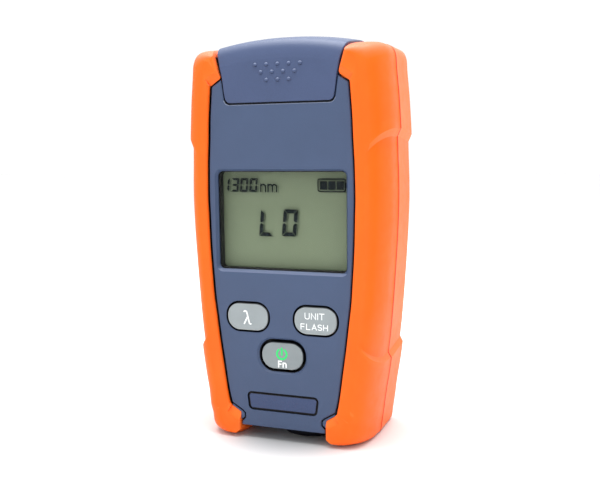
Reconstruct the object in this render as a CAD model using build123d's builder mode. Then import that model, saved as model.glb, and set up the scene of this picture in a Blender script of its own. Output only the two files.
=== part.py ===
from build123d import *
import os
from math import cos, sin, radians

os.makedirs("parts", exist_ok=True)

# Hand-held optical power meter, standing on its feet.
# X to the right, Y from the front face to the back, Z up. Millimetres.
# "depth" below is the distance behind the front panel's face.

# ---------------------------------------------------------------- main sizes
Y_PANEL = -20.9          # Y of the front panel's face
SEAM = 20.9              # depth of the parting plane between the case halves
FRONT = -1.2             # depth of the bumpers' front face
BACK = 43.0              # depth of the bumpers' rear face
CASE_BACK = 42.6         # depth of the rear shell's back face
TOP = 146.4              # top of the bumper horns
DECK = 133.0             # top deck of the case, under the flip cover
UNDER = 4.85             # underside of the case between the feet
WALL = 2.2               # case wall
CORE_FRONT = 2.6         # depth where the case's shoulder starts, under the bumpers
CORE_BACK = 40.4         # depth where the case's rear shoulder ends
PANEL_T = 1.8            # front panel thickness
HALF_W = 39.0            # half width at the waist bulge

# display
WIN_HW, WIN_Z0, WIN_Z1 = 25.1, 64.4, 100.95
BEVEL_HW, BEVEL_Z0, BEVEL_Z1 = 25.9, 63.4, 101.65
BEVEL_D = 1.2

# keys
KEY_W, KEY_H, KEY_R = 16.4, 10.2, 4.75
KEY_GAP, KEY_GAP_P = 0.75, 0.95
KEY_TRAVEL = 0.8
KEY_L = (-13.4, 46.8)
KEY_U = (13.4, 46.8)
KEY_P = (0.0, 32.7)

# flip cover and its hinge
HINGE_DEPTH, HINGE_Z = 38.6, 141.0
BARREL_R = 3.2
PIN_R = 1.25
CROWN_Z = 24.5           # height of the axis that the cover's crown is turned about
COVER_T = 1.8

# fibre port
FERRULE_R = 1.26

# cells
CELL_R, CELL_X = 7.25, 7.45
CELL_Z0, CELL_Z1 = 16.2, 66.7
CELL_DEPTH = 31.6

# screws
CASE_SCREWS = [(-24.5, 112.0), (24.5, 112.0), (-20.3, 27.0), (20.3, 27.0)]
BOARD_SCREWS = [(-26.0, 56.5), (26.0, 56.5), (-16.0, 119.0), (16.0, 119.0)]

# bottom service port
PLUG_X, PLUG_DEPTH = 6.0, 11.6


def face_at(depth):
    """Sketch plane with local x, y along X, Z at a depth behind the panel face."""
    return Plane.XZ.offset(-(depth + Y_PANEL))


def yy(depth):
    return depth + Y_PANEL


# ------------------------------------------------------------ outline points
# right-hand side of the bumpers at the seam, without the raised grip pads: height, half width
BASE = [(0.0, 29.8), (4.9, 31.0), (9.0, 31.75), (14.5, 32.45), (21.0, 33.45), (27.0, 34.4),
        (36.0, 35.5), (44.5, 36.4), (57.0, 37.35), (72.0, 38.3), (85.0, 38.9), (92.0, 39.0),
        (99.0, 38.85), (105.0, 38.7), (110.0, 38.55), (116.0, 38.25), (122.0, 37.9),
        (128.0, 37.5), (135.0, 36.85), (139.8, 36.4), (146.0, 35.5)]
FOOT = [(24.0, -0.55), (28.8, -0.5), (30.9, -0.05), (31.8, 0.75), (32.25, 2.2), (32.5, 4.3)]
HORN = [(37.75, 141.9), (37.3, 143.5), (36.55, 144.8), (35.35, 145.75), (33.6, 146.25),
        (31.2, TOP)]
PAD = 1.45               # how far the lower and upper grip pads stand out
PAD_LOW, PAD_UP = 30.9, 114.45   # heights of the pads' edges at the seam
LOW_STEP, UP_STEP = 1.0, 1.45    # half heights of the pads' sloped edges
ROUND_IN = 7.5           # how far the front rounding draws the sides in
GROOVE = 0.4             # chamfer of the seam's edges
ROUND = 0.85             # rounding of the bumpers' inner front edge


def base(z):
    """Half width at a height: a smooth curve through BASE."""
    k = 1
    while k < len(BASE) - 3 and BASE[k + 1][0] < z:
        k += 1
    (z0, a), (z1, b), (z2, c), (z3, d) = BASE[k - 1:k + 3]
    m1, m2 = (c - a) / (z2 - z0), (d - b) / (z3 - z1)
    h = z2 - z1
    t = (z - z1) / h
    return ((2 * t**3 - 3 * t**2 + 1) * b + (t**3 - 2 * t**2 + t) * h * m1
            + (3 * t**2 - 2 * t**3) * c + (t**3 - t**2) * h * m2)


def outline(inset, lift, drop, pad, z_low, z_up, soft=0.0):
    """Right-hand outline in three curves: lower pad, waist, upper pad with the horn.

    It is drawn in by inset, the foot raised by lift and the horn lowered by drop;
    soft rounds the outer corners of both."""
    a, b = z_low - LOW_STEP, z_low + LOW_STEP
    c, d = z_up - UP_STEP, z_up + UP_STEP
    low = [(x - (PAD - pad), z + (1.6 * soft + 2.2 * soft**0.5) * ((x - 24.0) / 8.0)**2)
           for x, z in FOOT]
    low += [(base(z) + pad, z) for z in (9.0, 14.5, 20.5, (20.5 + a) / 2, a)]
    mid = [(base(b + (c - b) * k / 8), b + (c - b) * k / 8) for k in range(9)]
    up = [(base(z) + pad, z) for z in (d, (d + 122.5) / 2, 122.5, 129.0, 135.0, 138.8)]
    up += [(x - (PAD - pad), z - 2.0 * soft * ((x - 31.0) / 6.7)**2) for x, z in HORN]
    s = (HALF_W - inset) / HALF_W
    return [[(x * s, z + lift * (1 - z / TOP) - drop * z / TOP) for x, z in part]
            for part in (low, mid, up)]


def front_sections():
    """Sections from the seam round to the front face: depth, outline."""
    start = SEAM - GROOVE
    out = []
    for t in (0, 16, 32, 47, 61, 76, 90):
        f = sin(radians(t))**0.91
        g = 1 - max(cos(radians(t)), 0.0)**0.91
        out.append((start - (start - FRONT) * f,
                    outline(ROUND_IN * g, 2.7 * g, 4.8 * g, PAD * (1 - g**5),
                            PAD_LOW + 8.0 * g, PAD_UP - 5.4 * g**1.5, g)))
    return out


def rear_sections():
    """Sections of the rear rounding: depth, outline."""
    out = []
    for k in range(6):
        f, g = sin(radians(18 * k)), 1 - cos(radians(18 * k))
        d = BACK - 5.0 * (1 - f)
        out.append((d, outline(4.5 * g + 0.01 * (d - SEAM), 1.8 * g, 0.1 + 2.4 * g,
                               PAD * (1 - 0.75 * g), PAD_LOW + 2.2 + 2.0 * g,
                               PAD_UP - 1.8 - 2.0 * g, 0.3 * g)))
    return out


def section(depth, parts):
    """Face of a bumper's outline at a depth, closed near the middle."""
    with BuildSketch(face_at(depth)) as sk:
        with BuildLine():
            low, mid, up = [Spline(*p) for p in parts]
            Line(low @ 1, mid @ 0)
            Line(mid @ 1, up @ 0)
            a, b = low @ 0, up @ 1
            Polyline(b, (8.0, b.Y), (8.0, a.Y), a)
        make_face()
    return sk.sketch.faces()[0]


SEAM_EDGE = outline(GROOVE, 0, GROOVE, PAD, PAD_LOW, PAD_UP)
SEAM_FULL = outline(0, 0, 0, PAD, PAD_LOW, PAD_UP)

# case under the bumpers, right-hand side
CORE = [(26.4, UNDER), (27.9, 9.5), (29.6, 20.0), (31.4, 35.0), (33.4, 57.0),
        (34.4, 72.0), (35.0, 85.0), (35.1, 95.0), (34.8, 105.0), (34.4, 115.0),
        (33.8, 125.0), (33.1, 133.0), (32.2, 138.5), (31.4, 141.0)]
HORN_IN = 26.4           # inner side of the case horn


def core_points(inset=0.0):
    return [(x - inset, z) for x, z in CORE]


# edge between the bumper and the slate face
EDGE = [(17.1, UNDER - 6), (17.1, 9.75), (20.6, 12.0), (21.45, 13.0)]
EDGE_SIDE = [(21.45, 13.0), (22.6, 19.0), (23.7, 27.0), (24.7, 34.0), (25.6, 41.0),
             (26.3, 47.0), (27.05, 53.0), (27.5, 59.0), (28.05, 67.5), (28.45, 76.0),
             (28.65, 85.0), (28.8, 90.0), (28.7, 98.0), (28.5, 105.0), (28.1, 112.0),
             (27.8, 120.0), (27.45, 125.0), (26.9, 131.9)]
EDGE_TOP = [(26.9, 131.9), (23.0, 134.5), (22.85, 135.3), (25.25, 143.6), (26.0, 151.5)]
# rounding of the horns' inner top edge, and bevel under the feet's inner sides
HORN_ROUND = [(24.66, 141.6), (25.15, 142.9), (25.95, 144.2), (27.2, 145.3), (29.0, 146.2),
              (31.5, 146.8)]
FOOT_BEVEL = [(10.0, -2.0), (10.0, 3.9), (16.4, 3.9), (20.9, 0.6), (24.0, -2.0)]
FOOT_BEVEL_BACK = [(10.0, -2.0), (10.0, 1.2), (16.9, 1.2), (18.0, 0.2), (20.0, -2.0)]
# tabs' bevelled edges: two ends, from outside the tab to where the bevel stops
TAB_BEVELS = [((20.75, 12.1), (16.2, 9.17)), ((22.1, 135.1), (26.75, 132.0))]
TAB_BEVEL_W = 2.8


def edge_path(off):
    """The whole edge from foot to horn, moved into the bumper by off."""
    path = EDGE + EDGE_SIDE[1:] + EDGE_TOP[1:]
    out = []
    for i, (x, z) in enumerate(path):
        normals = []
        for (ax, az), (bx, bz) in zip(path[max(i - 1, 0):i + 1], path[max(i - 1, 0) + 1:i + 2]):
            n = ((bx - ax)**2 + (bz - az)**2)**0.5
            normals.append(((bz - az) / n, (ax - bx) / n))
        nx, nz = sum(n[0] for n in normals), sum(n[1] for n in normals)
        k = off * len(normals) / (nx * nx + nz * nz)
        out.append((x + nx * k, z + nz * k))
    return out


# front panel
PANEL_SIDE = [(20.6, 13.2), (21.9, 19.0), (23.0, 27.0), (24.0, 34.0), (24.9, 41.0),
              (25.6, 47.0), (26.35, 53.0), (26.8, 59.0), (27.35, 67.5), (27.75, 76.0),
              (27.95, 85.0), (28.1, 90.0), (28.0, 98.0), (27.8, 105.0), (27.4, 112.0),
              (27.1, 120.0), (26.75, 125.0), (26.2, 131.6)]
PANEL_FOOT = [(20.6, 13.2), (16.2, 10.6), (15.2, 9.5), (15.2, 7.6), (16.7, 6.0), (16.7, UNDER)]
PANEL_EAR = [(26.2, 131.6), (22.45, 134.0), (21.9, 130.2), (21.45, 126.9)]
NOTCH = (19.3, 124.95)   # where the cover notch's rounded corner meets its floor

# cover seen from the front
COVER_SIDE = [(20.98, 127.45), (21.5, 130.2), (22.1, 135.0), (22.75, 137.8),
              (23.3, 140.3), (24.0, 142.5), (24.45, 143.9), (25.1, 147.5)]
COVER_BOTTOM = (19.0, 125.6)
# cover seen from the side: depth, height
COVER_CROWN = [(-0.15, 140.9), (0.4, 143.8), (1.5, 146.2), (3.4, 147.8), (7.0, 148.8),
               (12.0, 149.5), (20.9, 150.4), (29.0, 149.7), (35.0, 147.6), (39.3, 144.9), (41.5, 141.6)]


def mirrored(points):
    return [(-x, z) for x, z in points]


# =============================================================== case halves
# ----- front bumpers: moulded over the front shell, one each side
with BuildPart() as front_bumper_right:
    loft([section(SEAM, SEAM_EDGE), section(SEAM - GROOVE, SEAM_FULL)], ruled=True)
    loft([section(depth, parts) for depth, parts in front_sections()])
    # flat sole
    with Locations((0, 0, -5)):
        Box(100, 100, 10, mode=Mode.SUBTRACT)
    # room for the case
    with BuildSketch(face_at(CORE_FRONT)):
        with BuildLine():
            r = Spline(*core_points())
            Polyline(r @ 1, (HORN_IN, 141.0), (HORN_IN, DECK), (4, DECK), (4, UNDER), r @ 0)
        make_face()
    extrude(amount=-(SEAM - CORE_FRONT + 1), mode=Mode.SUBTRACT)
    # room for the slate face, in front of the case's shoulder
    with BuildSketch(face_at(-4)):
        with BuildLine():
            Polyline(*EDGE)
            Spline(*EDGE_SIDE)
            Polyline(*EDGE_TOP, (4, EDGE_TOP[-1][1]), (4, EDGE[0][1]), EDGE[0])
        make_face()
    extrude(amount=-(4 + CORE_FRONT), mode=Mode.SUBTRACT)
    # rounding along that edge
    for depth, off in [(FRONT - 0.3, ROUND)] + [
            (FRONT + ROUND * (1 - cos(radians(t))), ROUND * (1 - sin(radians(t))))
            for t in (0, 30, 60, 90)]:
        path = edge_path(off)
        with BuildSketch(face_at(depth)):
            with BuildLine():
                Polyline(*path[:4])
                Spline(*path[3:21])
                Polyline(*path[20:], (4, path[-1][1]), (4, path[0][1]), path[0])
            make_face()
    loft(ruled=True, mode=Mode.SUBTRACT)
    # cover's place between the horns
    with BuildSketch(face_at(-4)):
        with BuildLine():
            Polyline((22.85, DECK - 0.5), *EDGE_TOP[2:], (4, EDGE_TOP[-1][1]), (4, DECK - 0.5),
                     close=True)
        make_face()
    extrude(amount=-60, mode=Mode.SUBTRACT)
    # gap between the feet, bevelled
    with BuildSketch(face_at(-4)):
        with Locations((0, UNDER / 2 - 2)):
            Rectangle(2 * EDGE[0][0], UNDER + 4)
        with BuildLine():
            Polyline(*FOOT_BEVEL_BACK, close=True)
        make_face()
    extrude(amount=-60, mode=Mode.SUBTRACT)
    with BuildSketch(face_at(-2)):
        with BuildLine():
            Polyline(*FOOT_BEVEL, close=True)
        make_face()
    with BuildSketch(face_at(9)):
        with BuildLine():
            Polyline(*FOOT_BEVEL_BACK, close=True)
        make_face()
    loft(ruled=True, mode=Mode.SUBTRACT)
    # bevelled edges of the tabs that lap over the face's corners
    for (ax, az), (bx, bz) in TAB_BEVELS:
        n = ((bx - ax)**2 + (bz - az)**2)**0.5
        run = ((bx - ax) / n, 0, (bz - az) / n)
        with BuildSketch(Plane(origin=(ax, yy(0), az), x_dir=(-run[2], 0, run[0]), z_dir=run)):
            with BuildLine():
                k = (1.7) / TAB_BEVEL_W
                Polyline((-0.3, -0.5 - 0.3 * k), (-0.3, 2.2), (TAB_BEVEL_W + 1.0 / k, 2.2), close=True)
            make_face()
        extrude(amount=n, mode=Mode.SUBTRACT)
    # rounded inner top edge of the horn
    with BuildSketch(face_at(-4)):
        with BuildLine():
            h = Spline(*HORN_ROUND)
            Polyline(h @ 1, (31.5, 152.0), (20.0, 152.0), (20.0, 141.6), h @ 0)
        make_face()
    extrude(amount=-60, mode=Mode.SUBTRACT)
front_bumper_right.part.label = "front_bumper_right"

with BuildPart() as front_bumper_left:
    mirror(front_bumper_right.part, about=Plane.YZ)
front_bumper_left.part.label = "front_bumper_left"

# ----- rear bumpers
with BuildPart() as rear_bumper_right:
    loft([section(SEAM, SEAM_EDGE), section(SEAM + GROOVE, SEAM_FULL)], ruled=True)
    loft([section(SEAM + GROOVE, SEAM_FULL), section(*rear_sections()[0])], ruled=True)
    loft([section(depth, parts) for depth, parts in rear_sections()])
    with Locations((0, 0, -5)):
        Box(100, 100, 10, mode=Mode.SUBTRACT)
    with BuildSketch(face_at(SEAM - 1)):
        with BuildLine():
            r = Spline(*core_points())
            Polyline(r @ 1, (HORN_IN, 141.0), (HORN_IN, DECK), (4, DECK), (4, UNDER), r @ 0)
        make_face()
    extrude(amount=-(CORE_BACK - SEAM + 1), mode=Mode.SUBTRACT)
    with BuildSketch(face_at(CORE_BACK)):
        with BuildLine():
            Polyline(*EDGE)
            Spline(*EDGE_SIDE)
            Polyline(*EDGE_TOP, (4, EDGE_TOP[-1][1]), (4, EDGE[0][1]), EDGE[0])
        make_face()
    extrude(amount=-6, mode=Mode.SUBTRACT)
    with BuildSketch(face_at(10)):
        with BuildLine():
            Polyline((22.85, DECK - 0.5), *EDGE_TOP[2:], (4, EDGE_TOP[-1][1]), (4, DECK - 0.5),
                     close=True)
        make_face()
    extrude(amount=-60, mode=Mode.SUBTRACT)
    with BuildSketch(face_at(10)):
        with Locations((0, UNDER / 2 - 2)):
            Rectangle(2 * EDGE[0][0], UNDER + 4)
        with BuildLine():
            Polyline(*FOOT_BEVEL_BACK, close=True)
        make_face()
    extrude(amount=-60, mode=Mode.SUBTRACT)
    with BuildSketch(face_at(10)):
        with BuildLine():
            h = Spline(*HORN_ROUND)
            Polyline(h @ 1, (31.5, 152.0), (20.0, 152.0), (20.0, 141.6), h @ 0)
        make_face()
    extrude(amount=-60, mode=Mode.SUBTRACT)
    # room for the open cover's corners
    with BuildSketch(Plane.XY.offset(135.6)):
        with BuildLine():
            Polyline((20, yy(38.0)), (24.2, yy(38.0)), (25.6, yy(41.4)), (25.6, yy(50)), (20, yy(50)),
                     close=True)
        make_face()
    extrude(amount=20, mode=Mode.SUBTRACT)
    # hinge pin's hole through the horn
    with Locations(Location((0, yy(HINGE_DEPTH), HINGE_Z), (0, 90, 0))):
        Cylinder(PIN_R + 0.02, 61, mode=Mode.SUBTRACT)
rear_bumper_right.part.label = "rear_bumper_right"

with BuildPart() as rear_bumper_left:
    mirror(rear_bumper_right.part, about=Plane.YZ)
rear_bumper_left.part.label = "rear_bumper_left"

# ----- front shell
with BuildPart() as front_shell:
    with BuildSketch(face_at(CORE_FRONT)):
        with BuildLine():
            r = Spline(*core_points())
            l = Spline(*mirrored(core_points()))
            Polyline(r @ 1, (HORN_IN, 141.0), (HORN_IN, DECK), (-HORN_IN, DECK),
                     (-HORN_IN, 141.0), l @ 1)
            Line(r @ 0, l @ 0)
        make_face()
    extrude(amount=-(SEAM - CORE_FRONT))
    # raised seat that the face plate sits on
    with BuildSketch(face_at(PANEL_T)):
        with BuildLine():
            s = Spline(*EDGE_SIDE)
            t = Spline(*mirrored(EDGE_SIDE))
            Polyline((EDGE[0][0], UNDER), *EDGE[1:])
            Polyline((-EDGE[0][0], UNDER), *mirrored(EDGE[1:]))
            Line((EDGE[0][0], UNDER), (-EDGE[0][0], UNDER))
            Polyline(EDGE_TOP[0], (25.2, DECK), (-25.2, DECK), (-EDGE_TOP[0][0], EDGE_TOP[0][1]))
        make_face()
    extrude(amount=-(CORE_FRONT - PANEL_T + 0.2))
    # narrow slate rims beside the lower corners of the face plate
    with BuildSketch(face_at(0.25)):
        with BuildLine():
            Polyline((17.1, 6.75), (15.7, 7.95), (15.7, 9.25), (16.5, 10.15), (20.45, 12.55),
                     (20.6, 12.0), (17.1, 9.75), close=True)
        make_face()
        mirror(about=Plane.YZ)
    extrude(amount=-(PANEL_T - 0.25 + 0.2))
    # inside
    with BuildSketch(face_at(CORE_FRONT + WALL)):
        with BuildLine():
            inner = [(x - WALL, z) for x, z in CORE if 20.0 <= z <= 125.0]
            r = Spline(*inner)
            l = Spline(*mirrored(inner))
            Polyline(r @ 0, (24.6, UNDER + WALL), (-24.6, UNDER + WALL), l @ 0)
            Polyline(r @ 1, (29.6, DECK - WALL), (-29.6, DECK - WALL), l @ 1)
        make_face()
    extrude(amount=-SEAM, mode=Mode.SUBTRACT)
    # screw bosses for the case and for the board
    with BuildSketch(face_at(CORE_FRONT + WALL - 0.3)):
        with Locations(*CASE_SCREWS):
            Circle(4.0)
    extrude(amount=-(SEAM - CORE_FRONT - WALL + 0.3))
    with BuildSketch(face_at(CORE_FRONT + WALL - 0.3)):
        with Locations(*BOARD_SCREWS):
            Circle(2.6)
    extrude(amount=-(8.8 - CORE_FRONT - WALL + 0.3))
    with BuildSketch(face_at(9.0)):
        with Locations(*CASE_SCREWS):
            Circle(1.55)
    extrude(amount=-SEAM, mode=Mode.SUBTRACT)
    with BuildSketch(face_at(5.6)):
        with Locations(*BOARD_SCREWS):
            Circle(1.25)
    extrude(amount=-5, mode=Mode.SUBTRACT)
    # display opening
    with BuildSketch(face_at(-1)):
        with Locations((0, (WIN_Z0 + WIN_Z1) / 2)):
            RectangleRounded(2 * WIN_HW, WIN_Z1 - WIN_Z0, 2.0)
    extrude(amount=-7, mode=Mode.SUBTRACT)
    # key openings
    with BuildSketch(face_at(-1)):
        with Locations(KEY_L, KEY_U):
            RectangleRounded(KEY_W + 2 * KEY_GAP, KEY_H + 2 * KEY_GAP, KEY_R + KEY_GAP)
        with Locations(KEY_P):
            RectangleRounded(KEY_W + 2 * KEY_GAP_P, KEY_H + 2 * KEY_GAP_P, KEY_R + KEY_GAP_P)
    extrude(amount=-7, mode=Mode.SUBTRACT)
    # half of the fibre port's hole in the deck
    with Locations((0, yy(SEAM), DECK - 2)):
        Cylinder(5.6, 12, mode=Mode.SUBTRACT)
    # service port slot in the underside
    with BuildSketch(Plane.XY.offset(UNDER - 1)):
        with Locations((PLUG_X, yy(PLUG_DEPTH))):
            RectangleRounded(9.6, 4.6, 1.4)
    extrude(amount=4.5, mode=Mode.SUBTRACT)
front_shell.part.label = "front_shell"

# ----- rear shell, with the battery well
BOX_HW, BOX_Z0, BOX_Z1 = 15.2, 13.4, 70.4
with BuildPart() as rear_shell:
    with BuildSketch(face_at(SEAM)):
        with BuildLine():
            r = Spline(*core_points())
            l = Spline(*mirrored(core_points()))
            Polyline(r @ 1, (HORN_IN, 141.0), (HORN_IN, DECK), (-HORN_IN, DECK),
                     (-HORN_IN, 141.0), l @ 1)
            Line(r @ 0, l @ 0)
        make_face()
    extrude(amount=-(CORE_BACK - SEAM))
    with BuildSketch(face_at(CORE_BACK - 0.2)):
        with BuildLine():
            s = Spline(*EDGE_SIDE)
            t = Spline(*mirrored(EDGE_SIDE))
            Polyline((EDGE[0][0], UNDER), *EDGE[1:])
            Polyline((-EDGE[0][0], UNDER), *mirrored(EDGE[1:]))
            Line((EDGE[0][0], UNDER), (-EDGE[0][0], UNDER))
            Polyline(EDGE_TOP[0], (25.2, DECK), (-25.2, DECK), (-EDGE_TOP[0][0], EDGE_TOP[0][1]))
        make_face()
    extrude(amount=-(CASE_BACK - CORE_BACK + 0.2))
    # lip behind the hinge barrel
    with BuildSketch(face_at(CASE_BACK - 1.8)):
        with BuildLine():
            Polyline((-22.3, DECK - 1), (22.3, DECK - 1), (22.3, 137.2), (-22.3, 137.2),
                     close=True)
        make_face()
    extrude(amount=-1.8)
    # inside
    with BuildSketch(face_at(SEAM - 1)):
        with BuildLine():
            inner = [(x - WALL, z) for x, z in CORE if 20.0 <= z <= 125.0]
            r = Spline(*inner)
            l = Spline(*mirrored(inner))
            Polyline(r @ 0, (24.6, UNDER + WALL), (-24.6, UNDER + WALL), l @ 0)
            Polyline(r @ 1, (29.6, DECK - WALL), (-29.6, DECK - WALL), l @ 1)
        make_face()
    extrude(amount=-(CORE_BACK - SEAM + 1), mode=Mode.SUBTRACT)
    # walls of the battery well
    with BuildSketch(face_at(22.6)):
        with Locations((0, (BOX_Z0 + BOX_Z1) / 2)):
            Rectangle(2 * (BOX_HW + 1.5), BOX_Z1 - BOX_Z0 + 3.0)
    extrude(amount=-(CORE_BACK - 22.6 + 0.2))
    # screw columns
    with BuildSketch(face_at(SEAM)):
        with Locations(*CASE_SCREWS):
            Circle(4.2)
    extrude(amount=-(CORE_BACK - SEAM))
    # well, and the door's recess around its mouth
    with BuildSketch(face_at(24.1)):
        with Locations((0, (BOX_Z0 + BOX_Z1) / 2)):
            Rectangle(2 * BOX_HW, BOX_Z1 - BOX_Z0)
    extrude(amount=-25, mode=Mode.SUBTRACT)
    with BuildSketch(face_at(CASE_BACK - 2.1)):
        with Locations((0, (BOX_Z0 + BOX_Z1) / 2)):
            RectangleRounded(2 * (BOX_HW + 1.3), BOX_Z1 - BOX_Z0 + 2.6, 3.0)
    extrude(amount=-5, mode=Mode.SUBTRACT)
    # screw holes
    with BuildSketch(face_at(SEAM - 1)):
        with Locations(*CASE_SCREWS):
            Circle(1.75)
    extrude(amount=-30, mode=Mode.SUBTRACT)
    with BuildSketch(face_at(34.0)):
        with Locations(*CASE_SCREWS):
            Circle(3.0)
    extrude(amount=-12, mode=Mode.SUBTRACT)
    # half of the fibre port's hole, and the hinge pin's holes in the case horns
    with Locations((0, yy(SEAM), DECK - 2)):
        Cylinder(5.6, 12, mode=Mode.SUBTRACT)
    with Locations(Location((0, yy(HINGE_DEPTH), HINGE_Z), (0, 90, 0))):
        Cylinder(PIN_R + 0.02, 61, mode=Mode.SUBTRACT)
rear_shell.part.label = "rear_shell"

# ================================================================= face plate
with BuildPart() as front_panel:
    with BuildSketch(face_at(0)):
        with BuildLine():
            s = Spline(*PANEL_SIDE)
            t = Spline(*mirrored(PANEL_SIDE))
            Polyline(*PANEL_FOOT)
            Polyline(*mirrored(PANEL_FOOT))
            Line(PANEL_FOOT[-1], (-PANEL_FOOT[-1][0], PANEL_FOOT[-1][1]))
            Polyline(*PANEL_EAR)
            Polyline(*mirrored(PANEL_EAR))
            RadiusArc(PANEL_EAR[-1], NOTCH, 2.25)
            RadiusArc((-PANEL_EAR[-1][0], PANEL_EAR[-1][1]), (-NOTCH[0], NOTCH[1]), -2.25)
            Line(NOTCH, (-NOTCH[0], NOTCH[1]))
        make_face()
    extrude(amount=-PANEL_T)
    chamfer(front_panel.faces().sort_by(Axis.Y)[0].outer_wire().edges(), 0.3)
    # display opening with its sloped border
    with BuildSketch(face_at(-1)):
        with Locations((0, (WIN_Z0 + WIN_Z1) / 2)):
            RectangleRounded(2 * WIN_HW, WIN_Z1 - WIN_Z0, 2.0)
    extrude(amount=-5, mode=Mode.SUBTRACT)
    with BuildSketch(face_at(0)):
        with Locations((0, (BEVEL_Z0 + BEVEL_Z1) / 2)):
            RectangleRounded(2 * BEVEL_HW, BEVEL_Z1 - BEVEL_Z0, 2.6)
    with BuildSketch(face_at(BEVEL_D)):
        with Locations((0, (WIN_Z0 + WIN_Z1) / 2)):
            RectangleRounded(2 * WIN_HW, WIN_Z1 - WIN_Z0, 2.0)
    loft(ruled=True, mode=Mode.SUBTRACT)
    # key openings, the lower one dished
    with BuildSketch(face_at(-1)):
        with Locations(KEY_L, KEY_U):
            RectangleRounded(KEY_W + 2 * KEY_GAP, KEY_H + 2 * KEY_GAP, KEY_R + KEY_GAP)
        with Locations(KEY_P):
            RectangleRounded(KEY_W + 2 * KEY_GAP_P, KEY_H + 2 * KEY_GAP_P, KEY_R + KEY_GAP_P)
    extrude(amount=-5, mode=Mode.SUBTRACT)
    with BuildSketch(face_at(0)):
        with Locations(KEY_P):
            RectangleRounded(KEY_W + 3.6, KEY_H + 3.6, KEY_R + 1.8)
    with BuildSketch(face_at(1.0)):
        with Locations(KEY_P):
            RectangleRounded(KEY_W + 2 * KEY_GAP_P, KEY_H + 2 * KEY_GAP_P, KEY_R + KEY_GAP_P)
    loft(ruled=True, mode=Mode.SUBTRACT)
    # pocket of the inlay plate
    with BuildSketch(face_at(-1)):
        with BuildLine():
            FilletPolyline((-14.5, 18.3), (14.5, 18.3), (13.65, 11.1), (-13.65, 11.1),
                           radius=1.9, close=True)
        make_face()
    extrude(amount=-(1 + 0.9), mode=Mode.SUBTRACT)
front_panel.part.label = "front_panel"

with BuildPart() as label_plate:
    with BuildSketch(face_at(0.12)):
        with BuildLine():
            FilletPolyline((-13.8, 17.6), (13.8, 17.6), (13.0, 11.8), (-13.0, 11.8),
                           radius=1.4, close=True)
        make_face()
    extrude(amount=-(0.9 - 0.12))
    chamfer(label_plate.faces().sort_by(Axis.Y)[0].edges(), 0.15)
label_plate.part.label = "label_plate"

# ==================================================================== display
with BuildPart() as display_window:
    with BuildSketch(face_at(1.25)):
        with Locations((0, (WIN_Z0 + WIN_Z1) / 2)):
            RectangleRounded(2 * WIN_HW - 0.2, WIN_Z1 - WIN_Z0 - 0.2, 1.9)
    extrude(amount=-1.0)
display_window.part.label = "display_window"

with BuildPart() as display_bezel:
    with BuildSketch(face_at(2.25)):
        with Locations((0, (WIN_Z0 + WIN_Z1) / 2)):
            RectangleRounded(2 * WIN_HW - 0.2, WIN_Z1 - WIN_Z0 - 0.2, 1.9)
            RectangleRounded(2 * WIN_HW - 0.8, WIN_Z1 - WIN_Z0 - 0.8, 1.6, mode=Mode.SUBTRACT)
    extrude(amount=-2.6)
display_bezel.part.label = "display_bezel"

LCD_Z = (WIN_Z0 + WIN_Z1) / 2
with BuildPart() as lcd_glass:
    with BuildSketch(face_at(4.9)):
        with Locations((0, LCD_Z)):
            Rectangle(53.0, 39.8)
    extrude(amount=-1.7)
lcd_glass.part.label = "lcd_glass"

with BuildPart() as lcd_frame:
    with BuildSketch(face_at(4.9)):
        with Locations((0, LCD_Z)):
            RectangleRounded(57.0, 43.6, 1.5)
    extrude(amount=-3.9)
    with BuildSketch(face_at(4.0)):
        with Locations((0, LCD_Z)):
            Rectangle(53.2, 40.0)
    extrude(amount=-2.6, mode=Mode.SUBTRACT)
    with BuildSketch(face_at(4.0)):
        with Locations((0, LCD_Z)):
            Rectangle(50.8, 37.2)
    extrude(amount=-6, mode=Mode.SUBTRACT)
lcd_frame.part.label = "lcd_frame"

with BuildPart() as zebra_connector:
    with BuildSketch(face_at(6.6)):
        with Locations((0, 65.5)):
            Rectangle(48.0, 2.0)
    extrude(amount=-2.2)
zebra_connector.part.label = "zebra_connector"

# ====================================================================== board
BOARD = [(15.5, 8.6), (15.5, 33.0), (26.0, 42.0), (29.0, 52.0), (29.0, 103.0),
         (20.0, 109.0), (20.0, 124.0)]
with BuildPart() as main_board:
    with BuildSketch(face_at(8.8)):
        with BuildLine():
            Polyline(*BOARD, *reversed(mirrored(BOARD)), close=True)
        make_face()
        with Locations(*BOARD_SCREWS):
            Circle(1.35, mode=Mode.SUBTRACT)
    extrude(amount=-1.6)
main_board.part.label = "main_board"

with BuildPart() as controller_chip:
    with BuildSketch(face_at(10.4)):
        with Locations((4.0, 84.0)):
            Rectangle(12.0, 12.0)
    extrude(amount=-1.4)
    with BuildSketch(face_at(10.4)):
        with Locations((4.0, 84.0)):
            with GridLocations(0.8, 14.0, 13, 2):
                Rectangle(0.35, 1.4)
            with GridLocations(14.0, 0.8, 2, 13):
                Rectangle(1.4, 0.35)
    extrude(amount=-0.5)
    with BuildSketch(face_at(10.7)):
        with Locations((4.0, 84.0)):
            with GridLocations(0.8, 12.4, 13, 2):
                Rectangle(0.35, 1.2)
            with GridLocations(12.4, 0.8, 2, 13):
                Rectangle(1.2, 0.35)
    extrude(amount=-0.2)
controller_chip.part.label = "controller_chip"

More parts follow.
